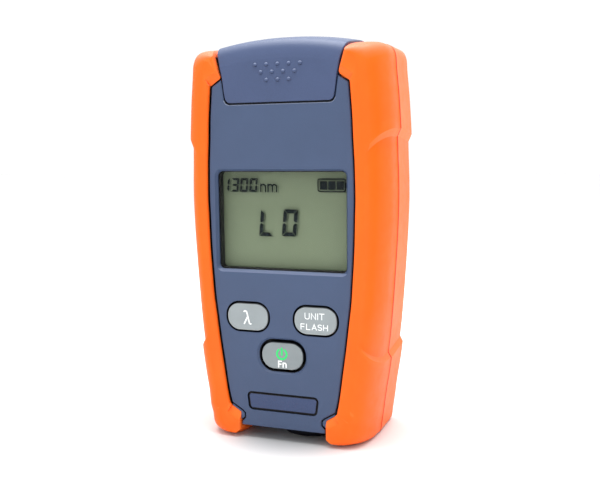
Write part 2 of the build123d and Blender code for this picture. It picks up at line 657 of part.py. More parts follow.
with BuildPart() as usb_socket:
    with BuildSketch(face_at(10.4)):
        with Locations((PLUG_X, 10.2)):
            Rectangle(7.6, 5.6)
    extrude(amount=-2.6)
    with BuildSketch(Plane.XY.offset(7.4)):
        with Locations((PLUG_X, yy(11.7))):
            Rectangle(6.8, 1.8)
    extrude(amount=4.6, mode=Mode.SUBTRACT)
    with BuildSketch(Plane.XY.offset(8.2)):
        with Locations((PLUG_X, yy(11.5))):
            Rectangle(4.6, 0.6)
    extrude(amount=4.2)
usb_socket.part.label = "usb_socket"

# ======================================================================= keys
with BuildPart() as keypad_mat:
    with BuildSketch(face_at(8.0)):
        with Locations((0, 46.8)):
            RectangleRounded(46.0, 13.4, 2.0)
        with Locations((0, 33.4)):
            RectangleRounded(21.0, 15.0, 2.0)
    extrude(amount=-0.8)
    for centre in (KEY_L, KEY_U, KEY_P):
        with BuildSketch(face_at(8.1)):
            with Locations(centre):
                Circle(4.4)
        with BuildSketch(face_at(7.2)):
            with Locations(centre):
                Circle(2.8)
        loft()
keypad_mat.part.label = "keypad_mat"

KEY_BACK = CORE_FRONT + WALL + 0.1
with BuildPart() as key_wavelength:
    with BuildSketch(face_at(-0.3)):
        with Locations(KEY_L):
            RectangleRounded(KEY_W, KEY_H, KEY_R)
    extrude(amount=-(KEY_BACK + 0.3))
    fillet(key_wavelength.faces().sort_by(Axis.Y)[0].edges(), 0.55)
    with BuildSketch(face_at(KEY_BACK)):
        with Locations(KEY_L):
            RectangleRounded(KEY_W + 2.4, KEY_H + 2.4, KEY_R + 1.2)
    extrude(amount=-0.8)
    with BuildSketch(face_at(KEY_BACK + 0.8)):
        with Locations(KEY_L):
            Circle(2.4)
    extrude(amount=-0.6)
key_wavelength.part.label = "key_wavelength"

with BuildPart() as key_unit:
    with BuildSketch(face_at(-0.3)):
        with Locations(KEY_U):
            RectangleRounded(KEY_W, KEY_H, KEY_R)
    extrude(amount=-(KEY_BACK + 0.3))
    fillet(key_unit.faces().sort_by(Axis.Y)[0].edges(), 0.55)
    with BuildSketch(face_at(KEY_BACK)):
        with Locations(KEY_U):
            RectangleRounded(KEY_W + 2.4, KEY_H + 2.4, KEY_R + 1.2)
    extrude(amount=-0.8)
    with BuildSketch(face_at(KEY_BACK + 0.8)):
        with Locations(KEY_U):
            Circle(2.4)
    extrude(amount=-0.6)
key_unit.part.label = "key_unit"

with BuildPart() as key_power:
    with BuildSketch(face_at(0.45)):
        with Locations(KEY_P):
            RectangleRounded(KEY_W, KEY_H, KEY_R)
    extrude(amount=-(KEY_BACK - 0.45))
    fillet(key_power.faces().sort_by(Axis.Y)[0].edges(), 0.55)
    with BuildSketch(face_at(KEY_BACK)):
        with Locations(KEY_P):
            RectangleRounded(KEY_W + 2.8, KEY_H + 2.8, KEY_R + 1.4)
    extrude(amount=-0.8)
    with BuildSketch(face_at(KEY_BACK + 0.8)):
        with Locations(KEY_P):
            Circle(2.4)
    extrude(amount=-0.6)
key_power.part.label = "key_power"

# ================================================================= flip cover
with BuildPart() as cover_hollow:
    # space inside the cover's walls
    with BuildSketch(Plane.YZ):
        with BuildLine():
            low = [(yy(d) + (COVER_T if d < 10 else (-COVER_T if d > 38 else 0)),
                    z - (0 if d < 0 else COVER_T)) for d, z in COVER_CROWN]
            c = Spline(*low)
            Polyline(c @ 1, ((c @ 1).X, 110.0), ((c @ 0).X, 110.0), c @ 0)
        make_face()
    revolve(axis=Axis((0, 0, CROWN_Z), (0, 1, 0)))
    with BuildSketch(face_at(-4)):
        with BuildLine():
            side = [(x - COVER_T, z) for x, z in COVER_SIDE]
            r = Spline(*side)
            l = Spline(*mirrored(side))
            Polyline(r @ 0, (18.5, 120.0), (-18.5, 120.0), l @ 0)
            Polyline(r @ 1, (23.6, 153.0), (-23.6, 153.0), l @ 1)
        make_face()
    extrude(amount=-60, mode=Mode.INTERSECT)

GRIP = [(-8.6, 138.75), (-4.3, 138.75), (0, 138.75), (4.3, 138.75), (8.6, 138.75),
        (-6.45, 136.1), (-2.15, 136.1), (2.15, 136.1), (6.45, 136.1),
        (-4.3, 133.3), (0, 133.3), (4.3, 133.3)]
with BuildPart() as flip_cover:
    with BuildSketch(Plane.YZ):
        with BuildLine():
            c = Spline(*[(yy(d), z) for d, z in COVER_CROWN])
            Polyline(c @ 1, ((c @ 1).X, 110.0), ((c @ 0).X, 110.0), c @ 0)
        make_face()
    revolve(axis=Axis((0, 0, CROWN_Z), (0, 1, 0)))
    with BuildSketch(face_at(-4)):
        with BuildLine():
            r = Spline(*COVER_SIDE)
            l = Spline(*mirrored(COVER_SIDE))
            RadiusArc(r @ 0, COVER_BOTTOM, 2.1)
            RadiusArc(l @ 0, (-COVER_BOTTOM[0], COVER_BOTTOM[1]), -2.1)
            Line(COVER_BOTTOM, (-COVER_BOTTOM[0], COVER_BOTTOM[1]))
            Polyline(r @ 1, (25.4, 153.0), (-25.4, 153.0), l @ 1)
        make_face()
    extrude(amount=-60, mode=Mode.INTERSECT)
    # soft outer edges
    rims = [(e, e.position_at(0.5)) for e in flip_cover.edges()]
    fillet([e for e, m in rims if m.Y < yy(41) and not (m.Y < yy(0) and m.Z > 138)], 0.4)
    add(cover_hollow.part, mode=Mode.SUBTRACT)
    # only the front skirt hangs below the deck
    with BuildSketch(face_at(1.5)):
        with Locations((0, 120.0)):
            Rectangle(60, 2 * (DECK + 0.6 - 120.0))
    extrude(amount=-60, mode=Mode.SUBTRACT)
    # clear of the hinge lip
    with BuildSketch(face_at(36.0)):
        with Locations((0, 125.0)):
            Rectangle(60, 2 * (HINGE_Z - 125.0))
    extrude(amount=-20, mode=Mode.SUBTRACT)
    # hinge barrel
    with Locations(Location((0, yy(HINGE_DEPTH), HINGE_Z), (0, 90, 0))):
        Cylinder(BARREL_R, 44.4)
        Cylinder(PIN_R + 0.05, 60, mode=Mode.SUBTRACT)
    # grip dots
    with Locations(*[(x, yy(-0.15 + 0.25), z) for x, z in GRIP]):
        Sphere(0.85)
flip_cover.part.label = "flip_cover"

with BuildPart() as hinge_pin:
    with Locations(Location((0, yy(HINGE_DEPTH), HINGE_Z), (0, 90, 0))):
        Cylinder(PIN_R, 60)
    chamfer(hinge_pin.edges(), 0.3)
hinge_pin.part.label = "hinge_pin"

# ================================================================= fibre port
with BuildPart() as port_body:
    with BuildSketch(Plane.XZ.offset(0)):
        with BuildLine():
            Polyline((2.6, 126.8), (5.5, 126.8), (5.5, DECK + 0.02), (7.4, DECK + 0.02),
                     (7.4, DECK + 1.2), (7.0, DECK + 1.6), (4.0, DECK + 1.6), (4.0, 138.8),
                     (3.6, 139.2), (2.6, 139.2), close=True)
        make_face()
    revolve(axis=Axis.Z)
port_body.part.label = "port_body"

with BuildPart() as port_adapter:
    with BuildSketch(Plane.XZ.offset(0)):
        with BuildLine():
            Polyline((FERRULE_R, 131.2), (2.55, 131.2), (2.55, 139.4), (4.05, 139.4),
                     (4.05, DECK + 2.0), (5.4, DECK + 2.0), (5.8, DECK + 2.4), (5.8, 141.2),
                     (5.2, 141.8), (4.6, 141.8), (4.6, 143.0), (4.2, 143.4),
                     (FERRULE_R, 143.4), close=True)
        make_face()
    revolve(axis=Axis.Z)
    # grip notches around the adapter
    with BuildSketch(Plane.XY.offset(136.0)):
        with PolarLocations(6.1, 18):
            Circle(0.55)
    extrude(amount=4.6, mode=Mode.SUBTRACT)
port_adapter.part.label = "port_adapter"

with BuildPart() as photodiode:
    with BuildSketch(Plane.XZ.offset(0)):
        with BuildLine():
            Polyline((0, 126.0), (2.7, 126.0), (2.7, 126.6), (2.35, 126.6), (2.35, 130.4),
                     (0, 130.4), close=True)
        make_face()
    revolve(axis=Axis.Z)
    with BuildSketch(Plane.XY.offset(126.2)):
        with PolarLocations(1.27, 3):
            Circle(0.23)
    extrude(amount=-5.2)
photodiode.part.label = "photodiode"

with BuildPart() as detector_holder:
    with BuildSketch(Plane.XY.offset(122.4)):
        RectangleRounded(17.0, 15.0, 1.5)
    extrude(amount=8.2)
    with Locations((0, 0, 130.0)):
        Cylinder(5.6, 6.6, mode=Mode.SUBTRACT)
    with Locations((0, 0, 126.5)):
        Cylinder(2.8, 1.2, mode=Mode.SUBTRACT)
    with BuildSketch(Plane.XY.offset(122.0)):
        Circle(2.0)
    extrude(amount=4.1, mode=Mode.SUBTRACT)
detector_holder.part.label = "detector_holder"

# ==================================================================== battery
with BuildPart() as battery_left:
    with BuildSketch(Plane.XY.offset(CELL_Z0)):
        with Locations((-CELL_X, yy(CELL_DEPTH))):
            Circle(CELL_R)
    extrude(amount=CELL_Z1 - CELL_Z0 - 1.4)
    with BuildSketch(Plane.XY.offset(CELL_Z1 - 1.4)):
        with Locations((-CELL_X, yy(CELL_DEPTH))):
            Circle(2.7)
    extrude(amount=1.4)
    fillet(battery_left.edges().filter_by(GeomType.CIRCLE).group_by(SortBy.RADIUS)[-1], 0.6)
battery_left.part.label = "battery_left"

with BuildPart() as battery_right:
    with BuildSketch(Plane.XY.offset(CELL_Z0 + 1.4)):
        with Locations((CELL_X, yy(CELL_DEPTH))):
            Circle(CELL_R)
    extrude(amount=CELL_Z1 - CELL_Z0 - 1.4)
    with BuildSketch(Plane.XY.offset(CELL_Z0)):
        with Locations((CELL_X, yy(CELL_DEPTH))):
            Circle(2.7)
    extrude(amount=1.4)
    fillet(battery_right.edges().filter_by(GeomType.CIRCLE).group_by(SortBy.RADIUS)[-1], 0.6)
battery_right.part.label = "battery_right"

# contact plates: positive ends, and the bases of the springs
with BuildPart() as battery_plates:
    for x, z in ((-CELL_X, BOX_Z1), (CELL_X, BOX_Z1), (-CELL_X, BOX_Z0), (CELL_X, BOX_Z0)):
        inside = -1 if z > 40 else 1
        with BuildSketch(face_at(25.2)):
            with Locations((x, z + inside * 0.25)):
                Rectangle(11.0, 0.5)
        extrude(amount=-12.6)
    # raised pads that meet the cells' buttons
    with Locations((-CELL_X, yy(CELL_DEPTH), (BOX_Z1 - 0.5 + CELL_Z1) / 2)):
        Cylinder(3.2, BOX_Z1 - 0.5 - CELL_Z1 - 0.02)
    with Locations((CELL_X, yy(CELL_DEPTH), (BOX_Z0 + 0.5 + CELL_Z0) / 2)):
        Cylinder(3.2, CELL_Z0 - BOX_Z0 - 0.5 - 0.02)
battery_plates.part.label = "battery_plates"

# springs on the negative ends, shown as their outer cones
with BuildPart() as battery_springs:
    for x, za, zb in ((-CELL_X, BOX_Z0 + 0.52, CELL_Z0 - 0.02),
                      (CELL_X, BOX_Z1 - 0.52, CELL_Z1 + 0.02)):
        with BuildSketch(Plane.XY.offset(za)):
            with Locations((x, yy(CELL_DEPTH))):
                Circle(4.6)
                Circle(3.7, mode=Mode.SUBTRACT)
        extrude(amount=(zb - za) * 0.5)
        with BuildSketch(Plane.XY.offset(za + (zb - za) * 0.5)):
            with Locations((x, yy(CELL_DEPTH))):
                Circle(4.1)
                Circle(2.9, mode=Mode.SUBTRACT)
        extrude(amount=(zb - za) * 0.5)
battery_springs.part.label = "battery_springs"

with BuildPart() as battery_door:
    with BuildSketch(face_at(CASE_BACK)):
        with Locations((0, (BOX_Z0 + BOX_Z1) / 2)):
            RectangleRounded(2 * (BOX_HW + 1.0), BOX_Z1 - BOX_Z0 + 2.0, 2.7)
    extrude(amount=1.9)
    chamfer(battery_door.faces().sort_by(Axis.Y)[-1].edges(), 0.3)
    # locating rib inside the well's mouth
    with BuildSketch(face_at(CASE_BACK - 1.9)):
        with Locations((0, (BOX_Z0 + BOX_Z1) / 2)):
            Rectangle(2 * BOX_HW - 0.8, BOX_Z1 - BOX_Z0 - 0.8)
            Rectangle(2 * BOX_HW - 3.2, BOX_Z1 - BOX_Z0 - 3.2, mode=Mode.SUBTRACT)
    extrude(amount=1.4)
    # thumb grooves at the latch end
    with BuildSketch(face_at(CASE_BACK - 0.5)):
        with Locations((0, 62.0)):
            with GridLocations(0, 2.2, 1, 4):
                SlotOverall(12.0, 1.0)
    extrude(amount=-2, mode=Mode.SUBTRACT)
battery_door.part.label = "battery_door"

# =================================================================== fasteners
with BuildPart() as case_screws:
    with BuildSketch(face_at(34.0)):
        with Locations(*CASE_SCREWS):
            Circle(2.7)
    extrude(amount=-2.0)
    with BuildSketch(face_at(12.0)):
        with Locations(*CASE_SCREWS):
            Circle(1.5)
    extrude(amount=-22.0)
    # cross recess
    with BuildSketch(face_at(34.8)):
        with Locations(*CASE_SCREWS):
            Rectangle(2.8, 0.6)
            Rectangle(0.6, 2.8)
    extrude(amount=-3, mode=Mode.SUBTRACT)
case_screws.part.label = "case_screws"

with BuildPart() as board_screws:
    with BuildSketch(face_at(10.4)):
        with Locations(*BOARD_SCREWS):
            Circle(2.2)
    extrude(amount=-1.4)
    with BuildSketch(face_at(6.2)):
        with Locations(*BOARD_SCREWS):
            Circle(1.2)
    extrude(amount=-4.3)
    with BuildSketch(face_at(11.0)):
        with Locations(*BOARD_SCREWS):
            Rectangle(2.4, 0.5)
            Rectangle(0.5, 2.4)
    extrude(amount=-2, mode=Mode.SUBTRACT)
board_screws.part.label = "board_screws"

# ================================================================ bottom plug
with BuildPart() as port_plug:
    with BuildSketch(Plane.XY.offset(0.9)):
        with Locations((PLUG_X, yy(PLUG_DEPTH))):
            Ellipse(9.5, 6.6)
    extrude(amount=UNDER - 0.25 - 0.9)
    fillet(port_plug.faces().sort_by(Axis.Z)[0].edges(), 1.6)
    with BuildSketch(Plane.XY.offset(UNDER - 0.3)):
        with Locations((PLUG_X, yy(PLUG_DEPTH))):
            RectangleRounded(8.9, 3.9, 1.1)
    extrude(amount=2.5)
port_plug.part.label = "port_plug"

# ===================================================================== export
export_step(front_shell.part, "parts/front_shell.step")
export_step(rear_shell.part, "parts/rear_shell.step")
export_step(front_bumper_left.part, "parts/front_bumper_left.step")
export_step(front_bumper_right.part, "parts/front_bumper_right.step")
export_step(rear_bumper_left.part, "parts/rear_bumper_left.step")
export_step(rear_bumper_right.part, "parts/rear_bumper_right.step")
export_step(front_panel.part, "parts/front_panel.step")
export_step(label_plate.part, "parts/label_plate.step")
export_step(display_window.part, "parts/display_window.step")
export_step(display_bezel.part, "parts/display_bezel.step")
export_step(lcd_glass.part, "parts/lcd_glass.step")
export_step(lcd_frame.part, "parts/lcd_frame.step")
export_step(zebra_connector.part, "parts/zebra_connector.step")
export_step(main_board.part, "parts/main_board.step")
export_step(controller_chip.part, "parts/controller_chip.step")
export_step(usb_socket.part, "parts/usb_socket.step")
export_step(keypad_mat.part, "parts/keypad_mat.step")
export_step(key_wavelength.part, "parts/key_wavelength.step")
export_step(key_unit.part, "parts/key_unit.step")
export_step(key_power.part, "parts/key_power.step")
export_step(flip_cover.part, "parts/flip_cover.step")
export_step(hinge_pin.part, "parts/hinge_pin.step")
export_step(port_body.part, "parts/port_body.step")
export_step(port_adapter.part, "parts/port_adapter.step")
export_step(photodiode.part, "parts/photodiode.step")
export_step(detector_holder.part, "parts/detector_holder.step")
export_step(battery_left.part, "parts/battery_left.step")
export_step(battery_right.part, "parts/battery_right.step")
export_step(battery_plates.part, "parts/battery_plates.step")
export_step(battery_springs.part, "parts/battery_springs.step")
export_step(battery_door.part, "parts/battery_door.step")
export_step(case_screws.part, "parts/case_screws.step")
export_step(board_screws.part, "parts/board_screws.step")
export_step(port_plug.part, "parts/port_plug.step")
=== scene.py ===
import math

import bmesh
import bpy
from mathutils import Matrix, Vector


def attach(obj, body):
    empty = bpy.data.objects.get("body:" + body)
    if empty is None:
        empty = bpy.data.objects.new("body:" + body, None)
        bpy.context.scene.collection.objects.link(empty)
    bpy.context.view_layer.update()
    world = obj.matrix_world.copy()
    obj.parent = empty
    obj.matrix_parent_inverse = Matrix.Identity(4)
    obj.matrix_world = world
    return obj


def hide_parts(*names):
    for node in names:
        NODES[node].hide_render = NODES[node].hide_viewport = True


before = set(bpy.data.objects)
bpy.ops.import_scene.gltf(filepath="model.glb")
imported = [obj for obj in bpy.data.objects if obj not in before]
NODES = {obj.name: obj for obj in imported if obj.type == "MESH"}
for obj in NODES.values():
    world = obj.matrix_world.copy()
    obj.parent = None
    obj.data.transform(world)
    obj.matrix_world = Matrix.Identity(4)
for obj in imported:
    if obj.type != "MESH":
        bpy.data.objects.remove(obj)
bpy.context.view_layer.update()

MM = 0.001
Y_FACE = -20.9           # Y of the front panel's face, mm


def P(x, depth, z):
    """A point from millimetres: across, behind the panel's face, up."""
    return (x * MM, (depth + Y_FACE) * MM, z * MM)


# ------------------------------------------------------------------ materials
def lin(r, g, b):
    """Linear colour from sRGB 0-255."""
    out = []
    for v in (r, g, b):
        v /= 255.0
        out.append(v / 12.92 if v <= 0.04045 else ((v + 0.055) / 1.055) ** 2.4)
    return (*out, 1.0)


def shade(c, k):
    return (min(c[0] * k, 1.0), min(c[1] * k, 1.0), min(c[2] * k, 1.0), 1.0)


class Mat:
    """A node material around one Principled shader, with object coordinates in metres."""

    def __init__(self, name):
        self.m = bpy.data.materials.new(name)
        self.m.use_nodes = True
        self.t = self.m.node_tree
        self.n = self.t.nodes
        self.n.clear()
        self.out = self.n.new("ShaderNodeOutputMaterial")
        self.p = self.n.new("ShaderNodeBsdfPrincipled")
        self.t.links.new(self.p.outputs[0], self.out.inputs[0])
        self.co = self.n.new("ShaderNodeTexCoord").outputs["Object"]

    def link(self, a, b):
        self.t.links.new(a, b)

    def set(self, **kw):
        for k, v in kw.items():
            self.p.inputs[k.replace("_", " ")].default_value = v
        return self

    def noise(self, scale, detail=3.0, rough=0.55, co=None):
        n = self.n.new("ShaderNodeTexNoise")
        n.inputs["Scale"].default_value = scale
        n.inputs["Detail"].default_value = detail
        n.inputs["Roughness"].default_value = rough
        self.link(co or self.co, n.inputs["Vector"])
        return n.outputs["Fac"]

    def cells(self, scale, feature="F1"):
        n = self.n.new("ShaderNodeTexVoronoi")
        n.feature = feature
        n.inputs["Scale"].default_value = scale
        self.link(self.co, n.inputs["Vector"])
        return n.outputs["Distance"]

    def ramp(self, fac, stops):
        n = self.n.new("ShaderNodeValToRGB")
        e = n.color_ramp.elements
        while len(e) < len(stops):
            e.new(0.5)
        for el, (pos, col) in zip(e, stops):
            el.position = pos
            el.color = col
        self.link(fac, n.inputs[0])
        return n.outputs[0]

    def span(self, fac, a, b, lo, hi):
        n = self.n.new("ShaderNodeMapRange")
        n.inputs["From Min"].default_value = a
        n.inputs["From Max"].default_value = b
        n.inputs["To Min"].default_value = lo
        n.inputs["To Max"].default_value = hi
        self.link(fac, n.inputs["Value"])
        return n.outputs[0]

    def math(self, op, a, b=None):
        n = self.n.new("ShaderNodeMath")
        n.operation = op
        for i, v in enumerate((a, b)):
            if v is None:
                continue
            if isinstance(v, (int, float)):
                n.inputs[i].default_value = v
            else:
                self.link(v, n.inputs[i])
        return n.outputs[0]

    def mix(self, fac, a, b, kind="MIX"):
        n = self.n.new("ShaderNodeMix")
        n.data_type = "RGBA"
        n.blend_type = kind
        if isinstance(fac, (int, float)):
            n.inputs["Factor"].default_value = fac
        else:
            self.link(fac, n.inputs["Factor"])
        for key, v in ((6, a), (7, b)):
            if isinstance(v, tuple):
                n.inputs[key].default_value = v
            else:
                self.link(v, n.inputs[key])
        return n.outputs[2]

    def axes(self):
        n = self.n.new("ShaderNodeSeparateXYZ")
        self.link(self.co, n.inputs[0])
        return n.outputs

    def bump(self, height, strength, dist, under=None):
        n = self.n.new("ShaderNodeBump")
        n.inputs["Strength"].default_value = strength
        n.inputs["Distance"].default_value = dist
        self.link(height, n.inputs["Height"])
        if under is not None:
            self.link(under, n.inputs["Normal"])
        return n.outputs[0]

    def edges(self, lo=0.49, hi=0.56):
        """High on outer edges and corners."""
        n = self.n.new("ShaderNodeNewGeometry")
        return self.span(n.outputs["Pointiness"], lo, hi, 0.0, 1.0)

    def colour(self, socket):
        self.link(socket, self.p.inputs["Base Color"])
        return self

    def rough(self, socket):
        self.link(socket, self.p.inputs["Roughness"])
        return self

    def normal(self, socket):
        self.link(socket, self.p.inputs["Normal"])
        return self


def moulded(name, col, grain=3600.0, depth=0.00006, strength=0.35, rough=(0.42, 0.56), vary=0.06,
            edge_pale=0.12, spec=0.35):
    """Fine-textured moulded plastic: spark-eroded grain, broad unevenness, edges and corners faintly lighter."""
    m = Mat(name)
    fine = m.noise(grain, 2.0, 0.6)
    pits = m.cells(grain * 0.42)
    broad = m.noise(55.0, 4.0)
    a = m.ramp(broad, [(0.3, shade(col, 1 - vary)), (0.7, shade(col, 1 + vary))])
    b = m.mix(m.span(fine, 0.3, 0.7, 0.0, 0.22), a, shade(col, 0.8))
    c = m.mix(m.math("MULTIPLY", m.edges(), edge_pale), b, shade(col, 1.7))
    m.colour(c)
    m.rough(m.span(m.mix(0.5, fine, broad), 0.25, 0.75, *rough))
    m.normal(m.bump(fine, strength, depth, m.bump(pits, strength * 0.6, depth)))
    m.set(Specular_IOR_Level=spec)
    return m


SLATE = lin(63, 78, 107)


def painted_shade(mat, mask):
    """Painted shade: near-black where the mask is high, on the walls and floors of narrow gaps."""
    old = mat.p.inputs["Base Color"].links[0].from_socket
    mat.colour(mat.mix(mask, old, lin(12, 11, 20)))


def inside(mat, ax, x0, x1, z0, z1):
    """1 within a rectangle seen from the front, mm."""
    a = mat.math("MULTIPLY", mat.math("GREATER_THAN", ax[0], x0 * MM), mat.math("LESS_THAN", ax[0], x1 * MM))
    b = mat.math("MULTIPLY", mat.math("GREATER_THAN", ax[2], z0 * MM), mat.math("LESS_THAN", ax[2], z1 * MM))
    return mat.math("MULTIPLY", a, b)


# face plate: slate in front, with painted shade (near-black) on the walls of its openings and groove and in the
# power key's dish
panel = moulded("slate_panel", SLATE)
ax = panel.axes()
wall_shade = panel.math("GREATER_THAN", ax[1], (0.33 + Y_FACE) * MM)
wall_shade = panel.math("MULTIPLY", wall_shade, panel.math("SUBTRACT", 1.0, inside(panel, ax, -26.6, 26.6, 62.4, 102.6)))
wall_shade = panel.math("MULTIPLY", wall_shade, panel.math("SUBTRACT", 1.0, inside(panel, ax, -12.0, 12.0, 24.2, 41.2)))
wall_shade = panel.math("MAXIMUM", wall_shade, panel.math("MULTIPLY", inside(panel, ax, -12.0, 12.0, 24.2, 41.2),
                                              panel.math("GREATER_THAN", ax[1], (0.84 + Y_FACE) * MM)))
# painted highlight: a paler slate on the upward chamfer of the notch under the cover
lip_highlight = panel.math("MULTIPLY", inside(panel, ax, -22.0, 22.0, 124.4, 126.6),
                 panel.math("GREATER_THAN", ax[1], (0.02 + Y_FACE) * MM))
old = panel.p.inputs["Base Color"].links[0].from_socket
old = panel.mix(lip_highlight, old, lin(120, 130, 152))
# painted highlight: a paler slate on the upward bevel under the display
sill_highlight = panel.math("MULTIPLY", inside(panel, ax, -25.6, 25.6, 63.2, 64.45),
                  panel.math("GREATER_THAN", ax[1], (0.03 + Y_FACE) * MM))
panel.colour(panel.mix(panel.math("MULTIPLY", sill_highlight, 0.6), old, lin(118, 130, 160)))
painted_shade(panel, wall_shade)
panel = panel.m
door_mat = moulded("slate_door", SLATE, grain=3000.0).m
cover_mat = moulded("slate_cover", lin(66, 80, 114), grain=3200.0, rough=(0.38, 0.5))
# grip dots: painted highlight on their upper sides, painted shade on their lower sides
ax = cover_mat.axes()
dots = cover_mat.math("MULTIPLY", inside(cover_mat, ax, -10.5, 10.5, 131.5, 140.6),
                      cover_mat.math("LESS_THAN", ax[1], (-0.2 + Y_FACE) * MM))
tex = cover_mat.n.new("ShaderNodeTexCoord")
nrm = cover_mat.n.new("ShaderNodeSeparateXYZ")
cover_mat.link(tex.outputs["Normal"], nrm.inputs[0])
old = cover_mat.p.inputs["Base Color"].links[0].from_socket
dot_highlight = cover_mat.math("MULTIPLY", dots, cover_mat.span(nrm.outputs[2], 0.1, 0.75, 0.0, 0.48))
dot_shade = cover_mat.math("MULTIPLY", dots, cover_mat.span(nrm.outputs[2], -0.75, -0.1, 0.65, 0.0))
old = cover_mat.mix(dot_highlight, old, lin(150, 160, 188))
# painted highlight: upward-facing parts of the cover paler
old = cover_mat.mix(cover_mat.span(nrm.outputs[2], 0.35, 0.95, 0.0, 0.16), old, lin(150, 160, 180))
cover_mat.colour(cover_mat.mix(dot_shade, old, lin(34, 42, 66)))
cover_mat = cover_mat.m
plate_mat = moulded("slate_inlay", lin(54, 68, 102), grain=1500.0, strength=0.7, depth=0.0001,
                    rough=(0.4, 0.55))
# painted shade: its rim and chamfer near-black, as in the groove
ax = plate_mat.axes()
rim_shade = plate_mat.math("GREATER_THAN", plate_mat.math(
    "SUBTRACT", plate_mat.math("ABSOLUTE", ax[0]), plate_mat.math("MULTIPLY", ax[2], 0.1379)), 11.1 * MM)
rim_shade = plate_mat.math("MAXIMUM", rim_shade, plate_mat.math("LESS_THAN", ax[2], 12.05 * MM))
rim_shade = plate_mat.math("MAXIMUM", rim_shade, plate_mat.math("GREATER_THAN", ax[2], 17.35 * MM))
rim_shade = plate_mat.math("MAXIMUM", rim_shade, plate_mat.math("GREATER_THAN", ax[1], (0.14 + Y_FACE) * MM))
painted_shade(plate_mat, rim_shade)
plate_mat = plate_mat.m

# case halves: slate outside, with painted shade (near black) where they show in the gaps of the front
case = moulded("slate_case", SLATE)
ax = case.axes()
gap_shade = case.math("MULTIPLY", case.math("GREATER_THAN", ax[1], (0.7 + Y_FACE) * MM),
                   case.math("LESS_THAN", ax[1], (4.95 + Y_FACE) * MM))
gap_shade = case.math("MULTIPLY", gap_shade, case.math("GREATER_THAN", ax[2], 5.2 * MM))
# the ledge behind the cover's skirt keeps its slate
gap_shade = case.math("MULTIPLY", gap_shade, case.math(
    "SUBTRACT", 1.0, inside(case, ax, -20.4, 20.4, 126.4, 140.0)))
# beside the cover's right edge the painted shade is only a quarter as strong
gap_shade = case.math("MULTIPLY", gap_shade, case.math(
    "SUBTRACT", 1.0, case.math("MULTIPLY", inside(case, ax, 19.6, 24.0, 127.0, 134.2), 0.75)))
painted_shade(case, gap_shade)
case = case.m


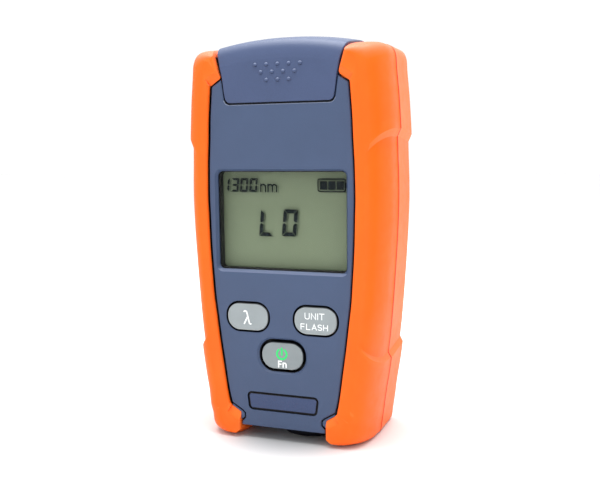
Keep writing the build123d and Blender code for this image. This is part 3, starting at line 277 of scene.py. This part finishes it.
def elastomer(name, col, dull=0.0):
    """Soft orange elastomer with a satin skin, duller on the upper part of its outer sides; painted shade in its
    gaps by the slate front and the cover, painted highlights on its edges, horn tops and pad slopes.
    """
    m = Mat(name)
    fine = m.noise(2600.0, 2.0, 0.6)
    mid = m.noise(260.0, 3.0)
    broad = m.noise(38.0, 4.0)
    c = m.ramp(broad, [(0.3, shade(col, 0.93)), (0.72, shade(col, 1.05))])
    c = m.mix(m.span(mid, 0.3, 0.7, 0.0, 0.16), c, shade(col, 0.86))
    # painted highlight: brighter orange on convex edges
    c = m.mix(m.math("MULTIPLY", m.edges(0.5, 0.57), 0.25), c, lin(255, 140, 70))
    ax = m.axes()
    # deeper tone in the seam's groove
    seam = m.math("LESS_THAN", m.math("ABSOLUTE", ax[1]), 0.0006)
    c = m.mix(m.math("MULTIPLY", seam, 0.97), c, lin(224, 38, 0))
    # painted shade: the walls that face the slate front, down in the gap, near-black
    nrm = m.n.new("ShaderNodeSeparateXYZ")
    tex = m.n.new("ShaderNodeTexCoord")
    m.link(tex.outputs["Normal"], nrm.inputs[0])
    inward = m.math("LESS_THAN", m.math("MULTIPLY", nrm.outputs[0], m.math("SIGN", ax[0])), -0.3)
    steep = m.math("LESS_THAN", m.math("ABSOLUTE", nrm.outputs[1]), 0.55)
    near = m.math("MULTIPLY", m.math("GREATER_THAN", ax[1], (0.2 + Y_FACE) * MM),
                  m.math("LESS_THAN", ax[1], (2.7 + Y_FACE) * MM))
    gap = m.math("MULTIPLY", m.math("MULTIPLY", inward, steep), near)
    gap = m.math("MULTIPLY", gap, m.math("LESS_THAN", ax[2], 0.1346))
    # painted highlight: upper faces of the horns a little paler
    high = m.math("MULTIPLY", m.span(nrm.outputs[2], 0.15, 0.75, 0.0, 0.36),
                  m.math("GREATER_THAN", ax[2], 0.12))
    c = m.mix(high, c, lin(255, 150, 135))
    # painted highlight: lighter slopes at the edges of the grip pads
    outer = m.math("GREATER_THAN", m.math("MULTIPLY", nrm.outputs[0], m.math("SIGN", ax[0])), 0.2)
    upper = m.math("MULTIPLY", m.math("LESS_THAN", nrm.outputs[2], -0.22), m.math("GREATER_THAN", ax[2], 0.1))
    lower = m.math("MULTIPLY", m.math("GREATER_THAN", nrm.outputs[2], 0.22), m.math("LESS_THAN", ax[2], 0.045))
    pad_slope_highlight = m.math("MULTIPLY", m.math("ADD", upper, m.math("MULTIPLY", lower, 0.4)), outer)
    c = m.mix(m.math("MULTIPLY", pad_slope_highlight, 0.17), c, lin(255, 150, 96))
    gap = m.math("MULTIPLY", gap, m.math("GREATER_THAN", ax[2], 0.0095))
    # painted shade: a dark red band on the horns' inner walls beside the cover
    horn_wall_shade = m.math("MULTIPLY", m.math("GREATER_THAN", ax[2], 0.1346),
                 m.math("LESS_THAN", ax[2], 0.1425))
    horn_wall_shade = m.math("MULTIPLY", horn_wall_shade, m.math("GREATER_THAN", ax[1], (1.0 + Y_FACE) * MM))
    horn_wall_shade = m.math("MULTIPLY", horn_wall_shade, m.math("LESS_THAN", ax[1], (3.0 + Y_FACE) * MM))
    horn_wall_shade = m.math("MULTIPLY", horn_wall_shade, m.math("MULTIPLY", inward, steep))
    c = m.mix(horn_wall_shade, c, lin(58, 18, 10))
    c = m.mix(gap, c, lin(14, 11, 16))
    m.colour(c)
    m.rough(m.span(m.mix(0.6, fine, mid), 0.3, 0.7, 0.4, 0.54))
    m.normal(m.bump(fine, 0.28, 0.00006, m.bump(mid, 0.06, 0.0002)))
    m.set(Specular_IOR_Level=0.22)
    out = m.math("MULTIPLY", nrm.outputs[0], m.math("SIGN", ax[0]))
    worn = m.math("MULTIPLY", m.span(out, 0.5, 0.85, 0.0, dull), m.span(ax[2], 0.03, 0.055, 0.0, 1.0))
    m.link(m.math("SUBTRACT", 0.22, worn), m.p.inputs["Specular IOR Level"])
    return m.m


orange = elastomer("orange_elastomer", lin(255, 101, 13), 0.12)
# painted light: a paler copy of the orange for the rear halves
orange_rear = elastomer("orange_elastomer_rear", lin(255, 108, 26))


def key_finish(name, col):
    """Light grey key with a satin face; painted shade makes its upward- and rightward-facing sides and all behind
    its face near-black, as in the gap.
    """
    m = Mat(name)
    fine = m.noise(3400.0, 2.0)
    broad = m.noise(140.0, 3.0)
    c = m.ramp(broad, [(0.3, shade(col, 0.95)), (0.7, shade(col, 1.05))])
    c = m.mix(m.span(fine, 0.35, 0.65, 0.0, 0.12), c, shade(col, 0.82))
    # painted highlight: paler on its rounded edges
    c = m.mix(m.math("MULTIPLY", m.edges(0.5, 0.56), 0.4), c, lin(206, 214, 212))
    m.colour(c)
    m.rough(m.span(fine, 0.3, 0.7, 0.36, 0.5))
    m.normal(m.bump(fine, 0.25, 0.00005))
    m.set(Specular_IOR_Level=0.4)
    tex = m.n.new("ShaderNodeTexCoord")
    nrm = m.n.new("ShaderNodeSeparateXYZ")
    m.link(tex.outputs["Normal"], nrm.inputs[0])
    wall_shade = m.math("MAXIMUM", m.span(nrm.outputs[2], 0.35, 0.7, 0.0, 0.9),
                  m.span(nrm.outputs[0], 0.55, 0.9, 0.0, 0.8))
    painted_shade(m, m.math("MAXIMUM", wall_shade, m.math("GREATER_THAN", m.axes()[1], (1.3 + Y_FACE) * MM)))
    return m.m


key_mat = key_finish("grey_key", lin(144, 152, 155))
# painted shade: a darker copy of the key finish for the sunk power key
shaded_key = key_finish("grey_key_shaded", lin(131, 139, 142))


def ink(name, col, rough=0.45):
    """Printed legend: slightly uneven film."""
    m = Mat(name)
    n = m.noise(2400.0, 3.0)
    m.colour(m.ramp(n, [(0.3, shade(col, 0.92)), (0.7, shade(col, 1.04))]))
    m.rough(m.span(n, 0.3, 0.7, rough - 0.06, rough + 0.08))
    m.normal(m.bump(n, 0.15, 0.00003))
    return m.m


white_ink = ink("white_ink", lin(247, 250, 251))
green_ink = ink("green_ink", lin(40, 214, 112))

# black plastics and rubber
m = Mat("black_plastic")
n = m.noise(2800.0, 2.0)
m.colour(m.ramp(n, [(0.3, lin(13, 13, 15)), (0.7, lin(22, 22, 25))]))
m.rough(m.span(n, 0.3, 0.7, 0.45, 0.62))
m.normal(m.bump(n, 0.3, 0.00005))
black = m.m

m = Mat("black_rubber")
n = m.noise(1900.0, 3.0)
broad = m.noise(120.0, 3.0)
c = m.ramp(broad, [(0.3, lin(7, 7, 15)), (0.7, lin(13, 13, 22))])
c = m.mix(m.math("MULTIPLY", m.edges(0.5, 0.57), 0.14), c, lin(40, 40, 48))
m.colour(c)
m.rough(m.span(n, 0.3, 0.7, 0.58, 0.74))
m.normal(m.bump(n, 0.3, 0.00006))
m.set(Specular_IOR_Level=0.1)
rubber = m.m

# lens and display
m = Mat("clear_lens")
n = m.noise(900.0, 2.0)
m.colour(m.ramp(n, [(0.3, lin(30, 36, 32)), (0.7, lin(36, 42, 38))]))
m.rough(m.span(n, 0.3, 0.7, 0.05, 0.09))
m.set(Alpha=0.05, IOR=1.47)
lens = m.m

m = Mat("lcd_reflector")
n = m.noise(5200.0, 2.0)
broad = m.noise(30.0, 3.0)
LCD = lin(134, 148, 120)
c = m.ramp(broad, [(0.3, shade(LCD, 0.88)), (0.7, shade(LCD, 0.94))])
# painted shade: darker towards the top, under the bezel
c = m.mix(m.span(m.axes()[2], 0.07, 0.1, 0.0, 0.75), c, shade(LCD, 0.72))
c = m.mix(m.span(n, 0.3, 0.7, 0.0, 0.1), c, shade(LCD, 0.8))
m.colour(c)
m.rough(m.span(n, 0.3, 0.7, 0.42, 0.55))
m.normal(m.bump(n, 0.03, 0.00001))
m.set(Specular_IOR_Level=0.2)
lcd_mat = m.m

m = Mat("lcd_segment")
n = m.noise(1500.0, 2.0)
m.colour(m.ramp(n, [(0.3, lin(7, 18, 22)), (0.7, lin(12, 24, 28))]))
m.rough(m.span(n, 0.3, 0.7, 0.45, 0.6))
m.set(Specular_IOR_Level=0.15)
segment = m.m

# painted shadow of the segments on the reflector
m = Mat("lcd_segment_shadow_paint")
n = m.noise(1500.0, 2.0)
m.colour(m.ramp(n, [(0.3, lin(96, 108, 88)), (0.7, lin(102, 114, 93))]))
m.rough(m.span(n, 0.3, 0.7, 0.45, 0.6))
m.set(Specular_IOR_Level=0.15)
segment_shadow_paint = m.m


def metal(name, col, rough, line=0.0):
    m = Mat(name)
    n = m.noise(1700.0, 3.0)
    broad = m.noise(170.0, 3.0)
    m.colour(m.ramp(broad, [(0.3, shade(col, 0.85)), (0.7, shade(col, 1.08))]))
    m.rough(m.span(n, 0.3, 0.7, rough, rough + 0.16))
    m.normal(m.bump(n, 0.2, 0.00003))
    m.set(Metallic=1.0)
    return m.m


steel = metal("plated_steel", lin(196, 197, 200), 0.24)
nickel = metal("nickel_plate", lin(206, 202, 190), 0.18)
spring_steel = metal("spring_wire", lin(205, 203, 198), 0.2)

# board: solder mask over a faint pattern of tracks
m = Mat("green_board")
tracks = m.n.new("ShaderNodeTexBrick")
tracks.inputs["Scale"].default_value = 260.0
tracks.inputs["Color1"].default_value = lin(18, 92, 52)
tracks.inputs["Color2"].default_value = lin(22, 104, 60)
tracks.inputs["Mortar"].default_value = lin(46, 134, 84)
tracks.inputs["Mortar Size"].default_value = 0.04
m.link(m.co, tracks.inputs["Vector"])
n = m.noise(900.0, 3.0)
m.colour(m.mix(m.span(n, 0.3, 0.7, 0.0, 0.25), tracks.outputs[0], lin(12, 70, 40)))
m.rough(m.span(n, 0.3, 0.7, 0.3, 0.45))
m.normal(m.bump(tracks.outputs[1], 0.2, 0.00004))
board = m.m

m = Mat("silicone")
n = m.noise(700.0, 3.0)
m.colour(m.ramp(n, [(0.3, lin(186, 188, 184)), (0.7, lin(204, 206, 201))]))
m.rough(m.span(n, 0.3, 0.7, 0.45, 0.6))
m.normal(m.bump(n, 0.2, 0.00005))
silicone = m.m


def cell_mat(name, plus_up):
    """Plain printed cell: dark sleeve, a lighter band at the plus end, bare steel ends."""
    m = Mat(name)
    z = m.axes()[2]
    n = m.noise(1200.0, 3.0)
    body = m.ramp(n, [(0.3, lin(40, 42, 46)), (0.7, lin(50, 52, 57))])
    band = m.math("GREATER_THAN", z, 0.0515) if plus_up else m.math("LESS_THAN", z, 0.0315)
    line = m.math("COMPARE", z, 0.0505 if plus_up else 0.0325)
    line.node.inputs[2].default_value = 0.0004
    c = m.mix(band, body, lin(196, 150, 66))
    c = m.mix(line, c, lin(220, 222, 224))
    low = m.math("LESS_THAN", z, 0.0168 if plus_up else 0.0182)
    high = m.math("GREATER_THAN", z, 0.0647 if plus_up else 0.0661)
    ends = m.math("MAXIMUM", low, high)
    m.colour(m.mix(ends, c, lin(190, 191, 194)))
    m.link(ends, m.p.inputs["Metallic"])
    m.rough(m.span(n, 0.3, 0.7, 0.26, 0.38))
    m.normal(m.bump(n, 0.12, 0.00003))
    return m.m


FINISH = {
    "front_shell": case, "rear_shell": case, "front_panel": panel, "label_plate": plate_mat,
    "front_bumper_left": orange, "front_bumper_right": orange,
    "rear_bumper_left": orange_rear, "rear_bumper_right": orange_rear,
    "display_window": lens, "display_bezel": black, "lcd_glass": lcd_mat, "lcd_frame": black,
    "zebra_connector": silicone, "main_board": board, "controller_chip": black,
    "usb_socket": steel, "keypad_mat": silicone, "key_wavelength": key_mat,
    "key_unit": key_mat, "key_power": shaded_key, "flip_cover": cover_mat, "hinge_pin": steel,
    "port_body": nickel, "port_adapter": nickel, "photodiode": steel, "detector_holder": black,
    "battery_left": cell_mat("cell_left", True), "battery_right": cell_mat("cell_right", False),
    "battery_plates": steel, "battery_springs": spring_steel, "battery_door": door_mat,
    "case_screws": steel, "board_screws": steel, "port_plug": rubber,
}
for name, obj in NODES.items():
    obj.data.materials.clear()
    obj.data.materials.append(FINISH[name])


# --------------------------------------------------------------- mesh helpers
def make(name, bm, mat, body, smooth=False):
    bmesh.ops.recalc_face_normals(bm, faces=bm.faces)
    me = bpy.data.meshes.new(name)
    bm.to_mesh(me)
    bm.free()
    me.materials.append(mat)
    if smooth:
        for f in me.polygons:
            f.use_smooth = True
    ob = bpy.data.objects.new(name, me)
    bpy.context.collection.objects.link(ob)
    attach(ob, body)
    return ob


def prism(bm, outline, d0, d1):
    """Closed solid from an (x, z) outline between two depths, mm."""
    front = [bm.verts.new(P(x, d0, z)) for x, z in outline]
    back = [bm.verts.new(P(x, d1, z)) for x, z in outline]
    bm.faces.new(front)
    bm.faces.new(back[::-1])
    for i in range(len(outline)):
        j = (i + 1) % len(outline)
        bm.faces.new((front[i], back[i], back[j], front[j]))


def arc(cx, cz, r, a0, a1, n=10, rz=None):
    rz = r if rz is None else rz
    return [(cx + r * math.cos(math.radians(a0 + (a1 - a0) * i / n)),
             cz + rz * math.sin(math.radians(a0 + (a1 - a0) * i / n))) for i in range(n + 1)]


def sides(pts, w, closed):
    """Points w/2 to the left and right of a path, mitred."""
    left, right = [], []
    n = len(pts)
    for i in range(n):
        dirs = []
        if closed or i > 0:
            dirs.append((pts[i - 1], pts[i]))
        if closed or i < n - 1:
            dirs.append((pts[i], pts[(i + 1) % n]))
        nx = nz = 0.0
        for (ax_, az), (bx, bz) in dirs:
            length = math.hypot(bx - ax_, bz - az)
            nx -= (bz - az) / length
            nz += (bx - ax_) / length
        k = len(dirs) / max(nx * nx + nz * nz, 0.6)
        x, z = pts[i]
        left.append((x + nx * k * w / 2, z + nz * k * w / 2))
        right.append((x - nx * k * w / 2, z - nz * k * w / 2))
    return left, right


def stroke(bm, pts, w, d0, d1, closed=False):
    """A raised line of width w along an (x, z) path, round at open ends."""
    pts = [p for i, p in enumerate(pts) if i == 0 or math.dist(p, pts[i - 1]) > 1e-4]
    if closed and math.dist(pts[0], pts[-1]) < 1e-4:
        pts.pop()
    left, right = sides(pts, w, closed)
    if closed:
        n = len(pts)
        rows = [[bm.verts.new(P(x, d, z)) for x, z in side]
                for side, d in ((left, d0), (right, d0), (right, d1), (left, d1))]
        for i in range(n):
            j = (i + 1) % n
            for a in range(4):
                b = (a + 1) % 4
                bm.faces.new((rows[a][i], rows[a][j], rows[b][j], rows[b][i]))
        return

    def cap(at, prev):
        ang = math.degrees(math.atan2(at[1] - prev[1], at[0] - prev[0]))
        return arc(at[0], at[1], w / 2, ang + 90, ang - 90, 6)[1:-1]

    prism(bm, left + cap(pts[-1], pts[-2]) + right[::-1] + cap(pts[0], pts[1]), d0, d1)


# -------------------------------------------------------------------- display
SEG_D = 4.93
CAM_MM = (112.215, -274.202, 109.239)


def flat_digit(bm, x, z, w, h, t, lit, d, slant=0.1):
    """Seven-segment digit with its lower left corner at x, z."""
    g = t * 0.1
    hh = h / 2
    a = t * 0.5

    def put(poly):
        prism(bm, [(x + px + slant * pz, z + pz) for px, pz in poly], d, d + 0.04)

    bars = {
        "a": [(g, h), (w - g, h), (w - t - g, h - t), (t + g, h - t)],
        "d": [(t + g, t), (w - t - g, t), (w - g, 0), (g, 0)],
        "g": [(t * 0.5 + g, hh), (t + g, hh + a), (w - t - g, hh + a), (w - t * 0.5 - g, hh),
              (w - t - g, hh - a), (t + g, hh - a)],
        "f": [(0, h - g), (t, h - t - g), (t, hh + a + g), (t * 0.5, hh + g), (0, hh + g + a * 0.4)],
        "e": [(0, g), (0, hh - g - a * 0.4), (t * 0.5, hh - g), (t, hh - a - g), (t, t + g)],
        "b": [(w, h - g), (w, hh + g + a * 0.4), (w - t * 0.5, hh + g), (w - t, hh + a + g),
              (w - t, h - t - g)],
        "c": [(w, g), (w - t, t + g), (w - t, hh - a - g), (w - t * 0.5, hh - g),
              (w, hh - g - a * 0.4)],
    }
    for s in lit:
        put(bars[s])


def deeper(x, z, d0=3.0, d1=SEG_D):
    """Where a sight line that passes x, z at one depth reaches another."""
    x += 0.42
    k = (d1 - d0) / (d0 - CAM_MM[1])
    return x + k * (x - CAM_MM[0]), z + k * (z - CAM_MM[2])


def readout(bm, d, sx=0.0, sz=0.0):
    """All lit parts of the display, at a depth and moved by sx, sz."""
    for x, lit in ((-25.0, "bc"), (-21.2, "abgcd"), (-17.45, "abcdef"), (-13.65, "abcdef")):
        dx, dz = deeper(x, 93.2)
        flat_digit(bm, dx + sx, dz + sz, 3.05, 5.1, 0.8, lit, d)
    # unit
    nx, nz = deeper(-9.0, 93.3)
    nx, nz = nx + sx, nz + sz
    w = 0.5
    stroke(bm, [(nx, nz), (nx, nz + 2.75)], w, d, d + 0.04)
    stroke(bm, [(nx, nz + 2.0)] + arc(nx + 0.95, nz + 1.75, 0.95, 150, 0, 8) + [(nx + 1.9, nz)],
           w, d + 0.004, d + 0.04)
    mx = nx + 2.95
    stroke(bm, [(mx, nz), (mx, nz + 2.75)], w, d, d + 0.04)
    for k in (0, 1):
        ox = mx + 1.65 * k
        stroke(bm, [(ox + 0.02, nz + 2.0)] + arc(ox + 0.85, nz + 1.85, 0.82, 150, 0, 8)
               + [(ox + 1.67, nz)], w, d + 0.004 + 0.004 * k, d + 0.04)
    # battery sign
    bx0, bz0 = deeper(13.35, 93.55)
    bx1, bz1 = deeper(23.6, 98.0)
    bx0, bx1, bz0, bz1 = bx0 + sx, bx1 + sx, bz0 + sz, bz1 + sz
    r = 0.6
    loop = (arc(bx1 - r, bz1 - r, r, 90, 0, 4) + arc(bx1 - r, bz0 + r, r, 0, -90, 4)
            + arc(bx0 + r, bz0 + r, r, -90, -180, 4) + arc(bx0 + r, bz1 - r, r, 180, 90, 4))
    stroke(bm, loop, 0.42, d, d + 0.04, closed=True)
    bz = (bz0 + bz1) / 2
    prism(bm, [(bx1 + 0.1, bz - 0.95), (bx1 + 0.1, bz + 0.95), (bx1 + 0.5, bz + 0.95),
               (bx1 + 0.5, bz - 0.95)], d, d + 0.04)
    for a, b in ((14.1, 16.75), (17.25, 19.95), (20.45, 23.05)):
        x0, z0 = deeper(a, 94.2)
        x1, z1 = deeper(b, 97.2)
        prism(bm, [(x0 + sx, z0 + sz), (x0 + sx, z1 + sz), (x1 + sx, z1 + sz), (x1 + sx, z0 + sz)],
              d, d + 0.04)
    # reading
    lx, lz = deeper(-10.0, 76.9)
    flat_digit(bm, lx + sx, lz + sz, 5.5, 9.9, 1.4, "fed", d)
    ox, oz = deeper(-0.95, 77.1)
    flat_digit(bm, ox + sx, oz + sz, 5.6, 9.9, 1.4, "abcdef", d)


bm = bmesh.new()
readout(bm, SEG_D)
segs = make("lcd_segments", bm, segment, "case")
# painted shadow: darker copies of the lit parts on the reflector, a little offset
bm = bmesh.new()
readout(bm, 6.05, 0.25, -0.3)
cast = make("lcd_segment_painted_shadows", bm, segment_shadow_paint, "case")

# display cell: bevelled reflector with a stepped contact ledge
bm = bmesh.new()
LCD_Z = 82.675
REFLECT = 6.1


def plate_outline(w, h, c, z=LCD_Z):
    return [(-w / 2 + c, z - h / 2), (w / 2 - c, z - h / 2), (w / 2, z - h / 2 + c), (w / 2, z + h / 2 - c),
            (w / 2 - c, z + h / 2), (-w / 2 + c, z + h / 2), (-w / 2, z + h / 2 - c), (-w / 2, z - h / 2 + c)]


prism(bm, plate_outline(52.6, 37.4, 0.5, LCD_Z + 0.9), REFLECT, REFLECT + 0.25)
prism(bm, plate_outline(52.9, 39.7, 0.4), REFLECT + 0.25, 6.6)
lcd = make("lcd_panel", bm, lcd_mat, "case")
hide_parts("lcd_glass")

# -------------------------------------------------------------------- legends
KEY_D0, KEY_D1 = -0.335, -0.28


def text(bm, word, x0, z0, h, w, gap, d0, d1, t):
    """Word in plain square strokes; w is the letters' width, t the stroke."""
    x = x0
    for ch in word:
        r_ = min(0.32 * h, w * 0.5)
        if ch == "I":
            stroke(bm, [(x, z0), (x, z0 + h)], t, d0, d1)
            x += gap
            continue
        lines = {
            "U": [[(0, h), (0, r_)] + arc(r_, r_, r_, 180, 270, 4) + arc(w - r_, r_, r_, 270, 360, 4) + [(w, h)]],
            "N": [[(0, 0), (0, h), (w, 0), (w, h)]],
            "T": [[(-0.1 * w, h), (1.0 * w, h)], [(0.45 * w, h), (0.45 * w, 0)]],
            "F": [[(0, 0), (0, h), (w * 0.86, h)], [(0, h * 0.5), (w * 0.76, h * 0.5)]],
            "L": [[(0, h), (0, 0), (w * 0.86, 0)]],
            "A": [[(-0.04 * w, 0), (0.5 * w, h), (1.04 * w, 0)], [(0.2 * w, h * 0.33), (0.8 * w, h * 0.33)]],
            "S": [arc(w * 0.5, h * 0.75, w * 0.46, 30, 270, 8, h * 0.25)
                  + arc(w * 0.5, h * 0.25, w * 0.48, 90, -150, 8, h * 0.25)],
            "H": [[(0, 0), (0, h)], [(w, 0), (w, h)], [(0, h * 0.5), (w, h * 0.5)]],
            "n": [[(0, 0), (0, h * 0.78)], [(0, h * 0.5)] + arc(w * 0.42, h * 0.42, w * 0.42, 150, 0, 6, h * 0.34)
                  + [(w * 0.84, 0)]],
        }[ch]
        for i, line in enumerate(lines):
            stroke(bm, [(x + px, z0 + pz) for px, pz in line], t, d0 + 0.006 * i, d1)
        x += w + gap
    return x


bm = bmesh.new()
text(bm, "UNIT", 9.45, 47.45, 2.15, 1.65, 0.8, KEY_D0, KEY_D1, 0.3)
text(bm, "FLASH", 7.85, 43.55, 2.0, 1.55, 0.62, KEY_D0, KEY_D1, 0.3)
make("legend_unit", bm, white_ink, "unit_key")

bm = bmesh.new()
stroke(bm, [(-14.85, 48.75), (-14.5, 49.0)] + arc(-14.4, 48.25, 0.75, 85, 22, 5)
       + [(-12.75, 44.55)] + arc(-12.25, 44.7, 0.55, 200, 285, 5), 0.56, KEY_D0, KEY_D1)
stroke(bm, [(-13.45, 46.75), (-14.8, 44.2)], 0.56, KEY_D0 + 0.006, KEY_D1)
make("legend_wavelength", bm, white_ink, "wavelength_key")

PW_D0, PW_D1 = 0.415, 0.47
bm = bmesh.new()
stroke(bm, arc(-0.18, 33.4, 1.92, 127, 413, 28), 0.74, PW_D0, PW_D1)
stroke(bm, [(-0.18, 35.5), (-0.18, 33.1)], 0.74, PW_D0 + 0.006, PW_D1)
make("legend_power", bm, green_ink, "power_key")
bm = bmesh.new()
text(bm, "F", -1.48, 28.4, 2.25, 1.28, 0.4, PW_D0, PW_D1, 0.48)
stroke(bm, [(0.28, 28.4), (0.28, 30.05)], 0.48, PW_D0, PW_D1)
stroke(bm, [(0.3, 29.3)] + arc(0.88, 29.45, 0.6, 135, 0, 6) + [(1.48, 28.4)], 0.48, PW_D0 + 0.006, PW_D1)
make("legend_fn", bm, white_ink, "power_key")


# ------------------------------------------------------------ battery springs
def coil(bm, cx, depth, z0, z1, r0, r1, turns, wire, n=26, ring=8):
    """Tapered wire coil from z0 to z1, closed at both ends."""
    steps = int(turns * n)
    rows = []
    for i in range(steps + 1):
        t = i / steps
        a = 2 * math.pi * turns * t
        # end turns lie flat
        s = min(1.0, max(0.0, (t - 0.22) / 0.6))
        z = z0 + (z1 - z0) * s
        r = r0 + (r1 - r0) * t
        c = Vector((cx + r * math.cos(a), depth + r * math.sin(a), z))
        out = Vector((math.cos(a), math.sin(a), 0))
        up = Vector((0, 0, 1))
        rows.append([bm.verts.new(P(*(c + wire * (math.cos(k) * out + math.sin(k) * up))))
                     for k in (2 * math.pi * j / ring for j in range(ring))])
    for a, b in zip(rows, rows[1:]):
        for j in range(ring):
            k = (j + 1) % ring
            bm.faces.new((a[j], a[k], b[k], b[j]))
    bm.faces.new(rows[0][::-1])
    bm.faces.new(rows[-1])


bm = bmesh.new()
coil(bm, -7.45, 31.6, 14.25, 15.85, 4.25, 3.0, 2.6, 0.32)
coil(bm, 7.45, 31.6, 69.55, 67.05, 4.25, 3.0, 3.2, 0.32)
springs = make("contact_springs", bm, spring_steel, "case", smooth=True)
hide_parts("battery_springs")

# ------------------------------------------------------------ floor and light
bm = bmesh.new()
N = 24
SIZE = 3.0
grid = [[bm.verts.new((-SIZE + 2 * SIZE * i / N, -SIZE + 2 * SIZE * j / N, 0.0)) for j in range(N + 1)]
        for i in range(N + 1)]
for i in range(N):
    for j in range(N):
        bm.faces.new((grid[i][j], grid[i + 1][j], grid[i + 1][j + 1], grid[i][j + 1]))
me = bpy.data.meshes.new("floor")
bm.to_mesh(me)
bm.free()
floor = bpy.data.objects.new("floor", me)
bpy.context.collection.objects.link(floor)
m = Mat("pale_floor")
n = m.noise(3.0, 2.0)
far = m.n.new("ShaderNodeVectorMath")
far.operation = "LENGTH"
m.link(m.co, far.inputs[0])
c = m.ramp(n, [(0.3, (0.95, 0.95, 0.95, 1)), (0.7, (0.97, 0.97, 0.97, 1))])
# painted shadow: the floor darker close around and under the object, darkest within a few centimetres of its
# centre
c = m.mix(m.span(far.outputs["Value"], 0.04, 0.3, 0.0, 1.0), (0.8, 0.805, 0.81, 1.0), c)
m.colour(m.mix(m.span(far.outputs["Value"], 0.02, 0.036, 0.0, 1.0), (0.42, 0.43, 0.44, 1.0), c))
m.rough(m.span(n, 0.3, 0.7, 0.55, 0.65))
m.set(Specular_IOR_Level=0.2)
me.materials.append(m.m)

world = bpy.data.worlds.new("studio")
bpy.context.scene.world = world
world.use_nodes = True
bg = world.node_tree.nodes["Background"]
bg.inputs[0].default_value = (1.0, 1.0, 1.0, 1.0)
bg.inputs[1].default_value = 1.05


def softbox(name, at, look, size, power, colour=(1, 1, 1)):
    d = bpy.data.lights.new(name, "AREA")
    d.shape = "RECTANGLE"
    d.size, d.size_y = size
    d.energy = power
    d.color = colour
    ob = bpy.data.objects.new(name, d)
    ob.location = at
    ob.rotation_euler = (Vector(look) - Vector(at)).to_track_quat("-Z", "Y").to_euler()
    bpy.context.collection.objects.link(ob)
    return ob


softbox("top_box", (0.0, 0.03, 0.7), (0.0, 0.0, 0.08), (0.6, 0.6), 6.0)
softbox("left_box", (-0.55, -0.7, 0.5), (0.0, 0.0, 0.08), (0.5, 0.6), 0.5)
softbox("rear_box", (0.24, 0.75, 0.3), (0.0, 0.0, 0.08), (0.4, 0.5), 0.4)

scene = bpy.context.scene
scene.view_settings.view_transform = "Standard"
scene.view_settings.look = "None"
scene.view_settings.exposure = 0.0
scene.view_settings.gamma = 1.0

# --------------------------------------------------------------------- camera
yaw, pitch, roll = 0.36404405, 0.11887377, -0.01220142
fwd = Vector((-math.sin(yaw) * math.cos(pitch), math.cos(yaw) * math.cos(pitch), -math.sin(pitch)))
right = Vector((math.cos(yaw), math.sin(yaw), 0.0))
up = right.cross(fwd)
r2 = math.cos(roll) * right + math.sin(roll) * up
u2 = -math.sin(roll) * right + math.cos(roll) * up
cam = bpy.data.cameras.new("camera")
cam.sensor_fit = "HORIZONTAL"
cam.sensor_width = 36.0
cam.lens = 49.2
cam.clip_start = 0.01
eye = bpy.data.objects.new("camera", cam)
eye.matrix_world = Matrix((
    (r2.x, u2.x, -fwd.x, 0.112215),
    (r2.y, u2.y, -fwd.y, -0.295102),
    (r2.z, u2.z, -fwd.z, 0.109239),
    (0.0, 0.0, 0.0, 1.0),
))
bpy.context.collection.objects.link(eye)
scene.camera = eye

bpy.context.view_layer.update()
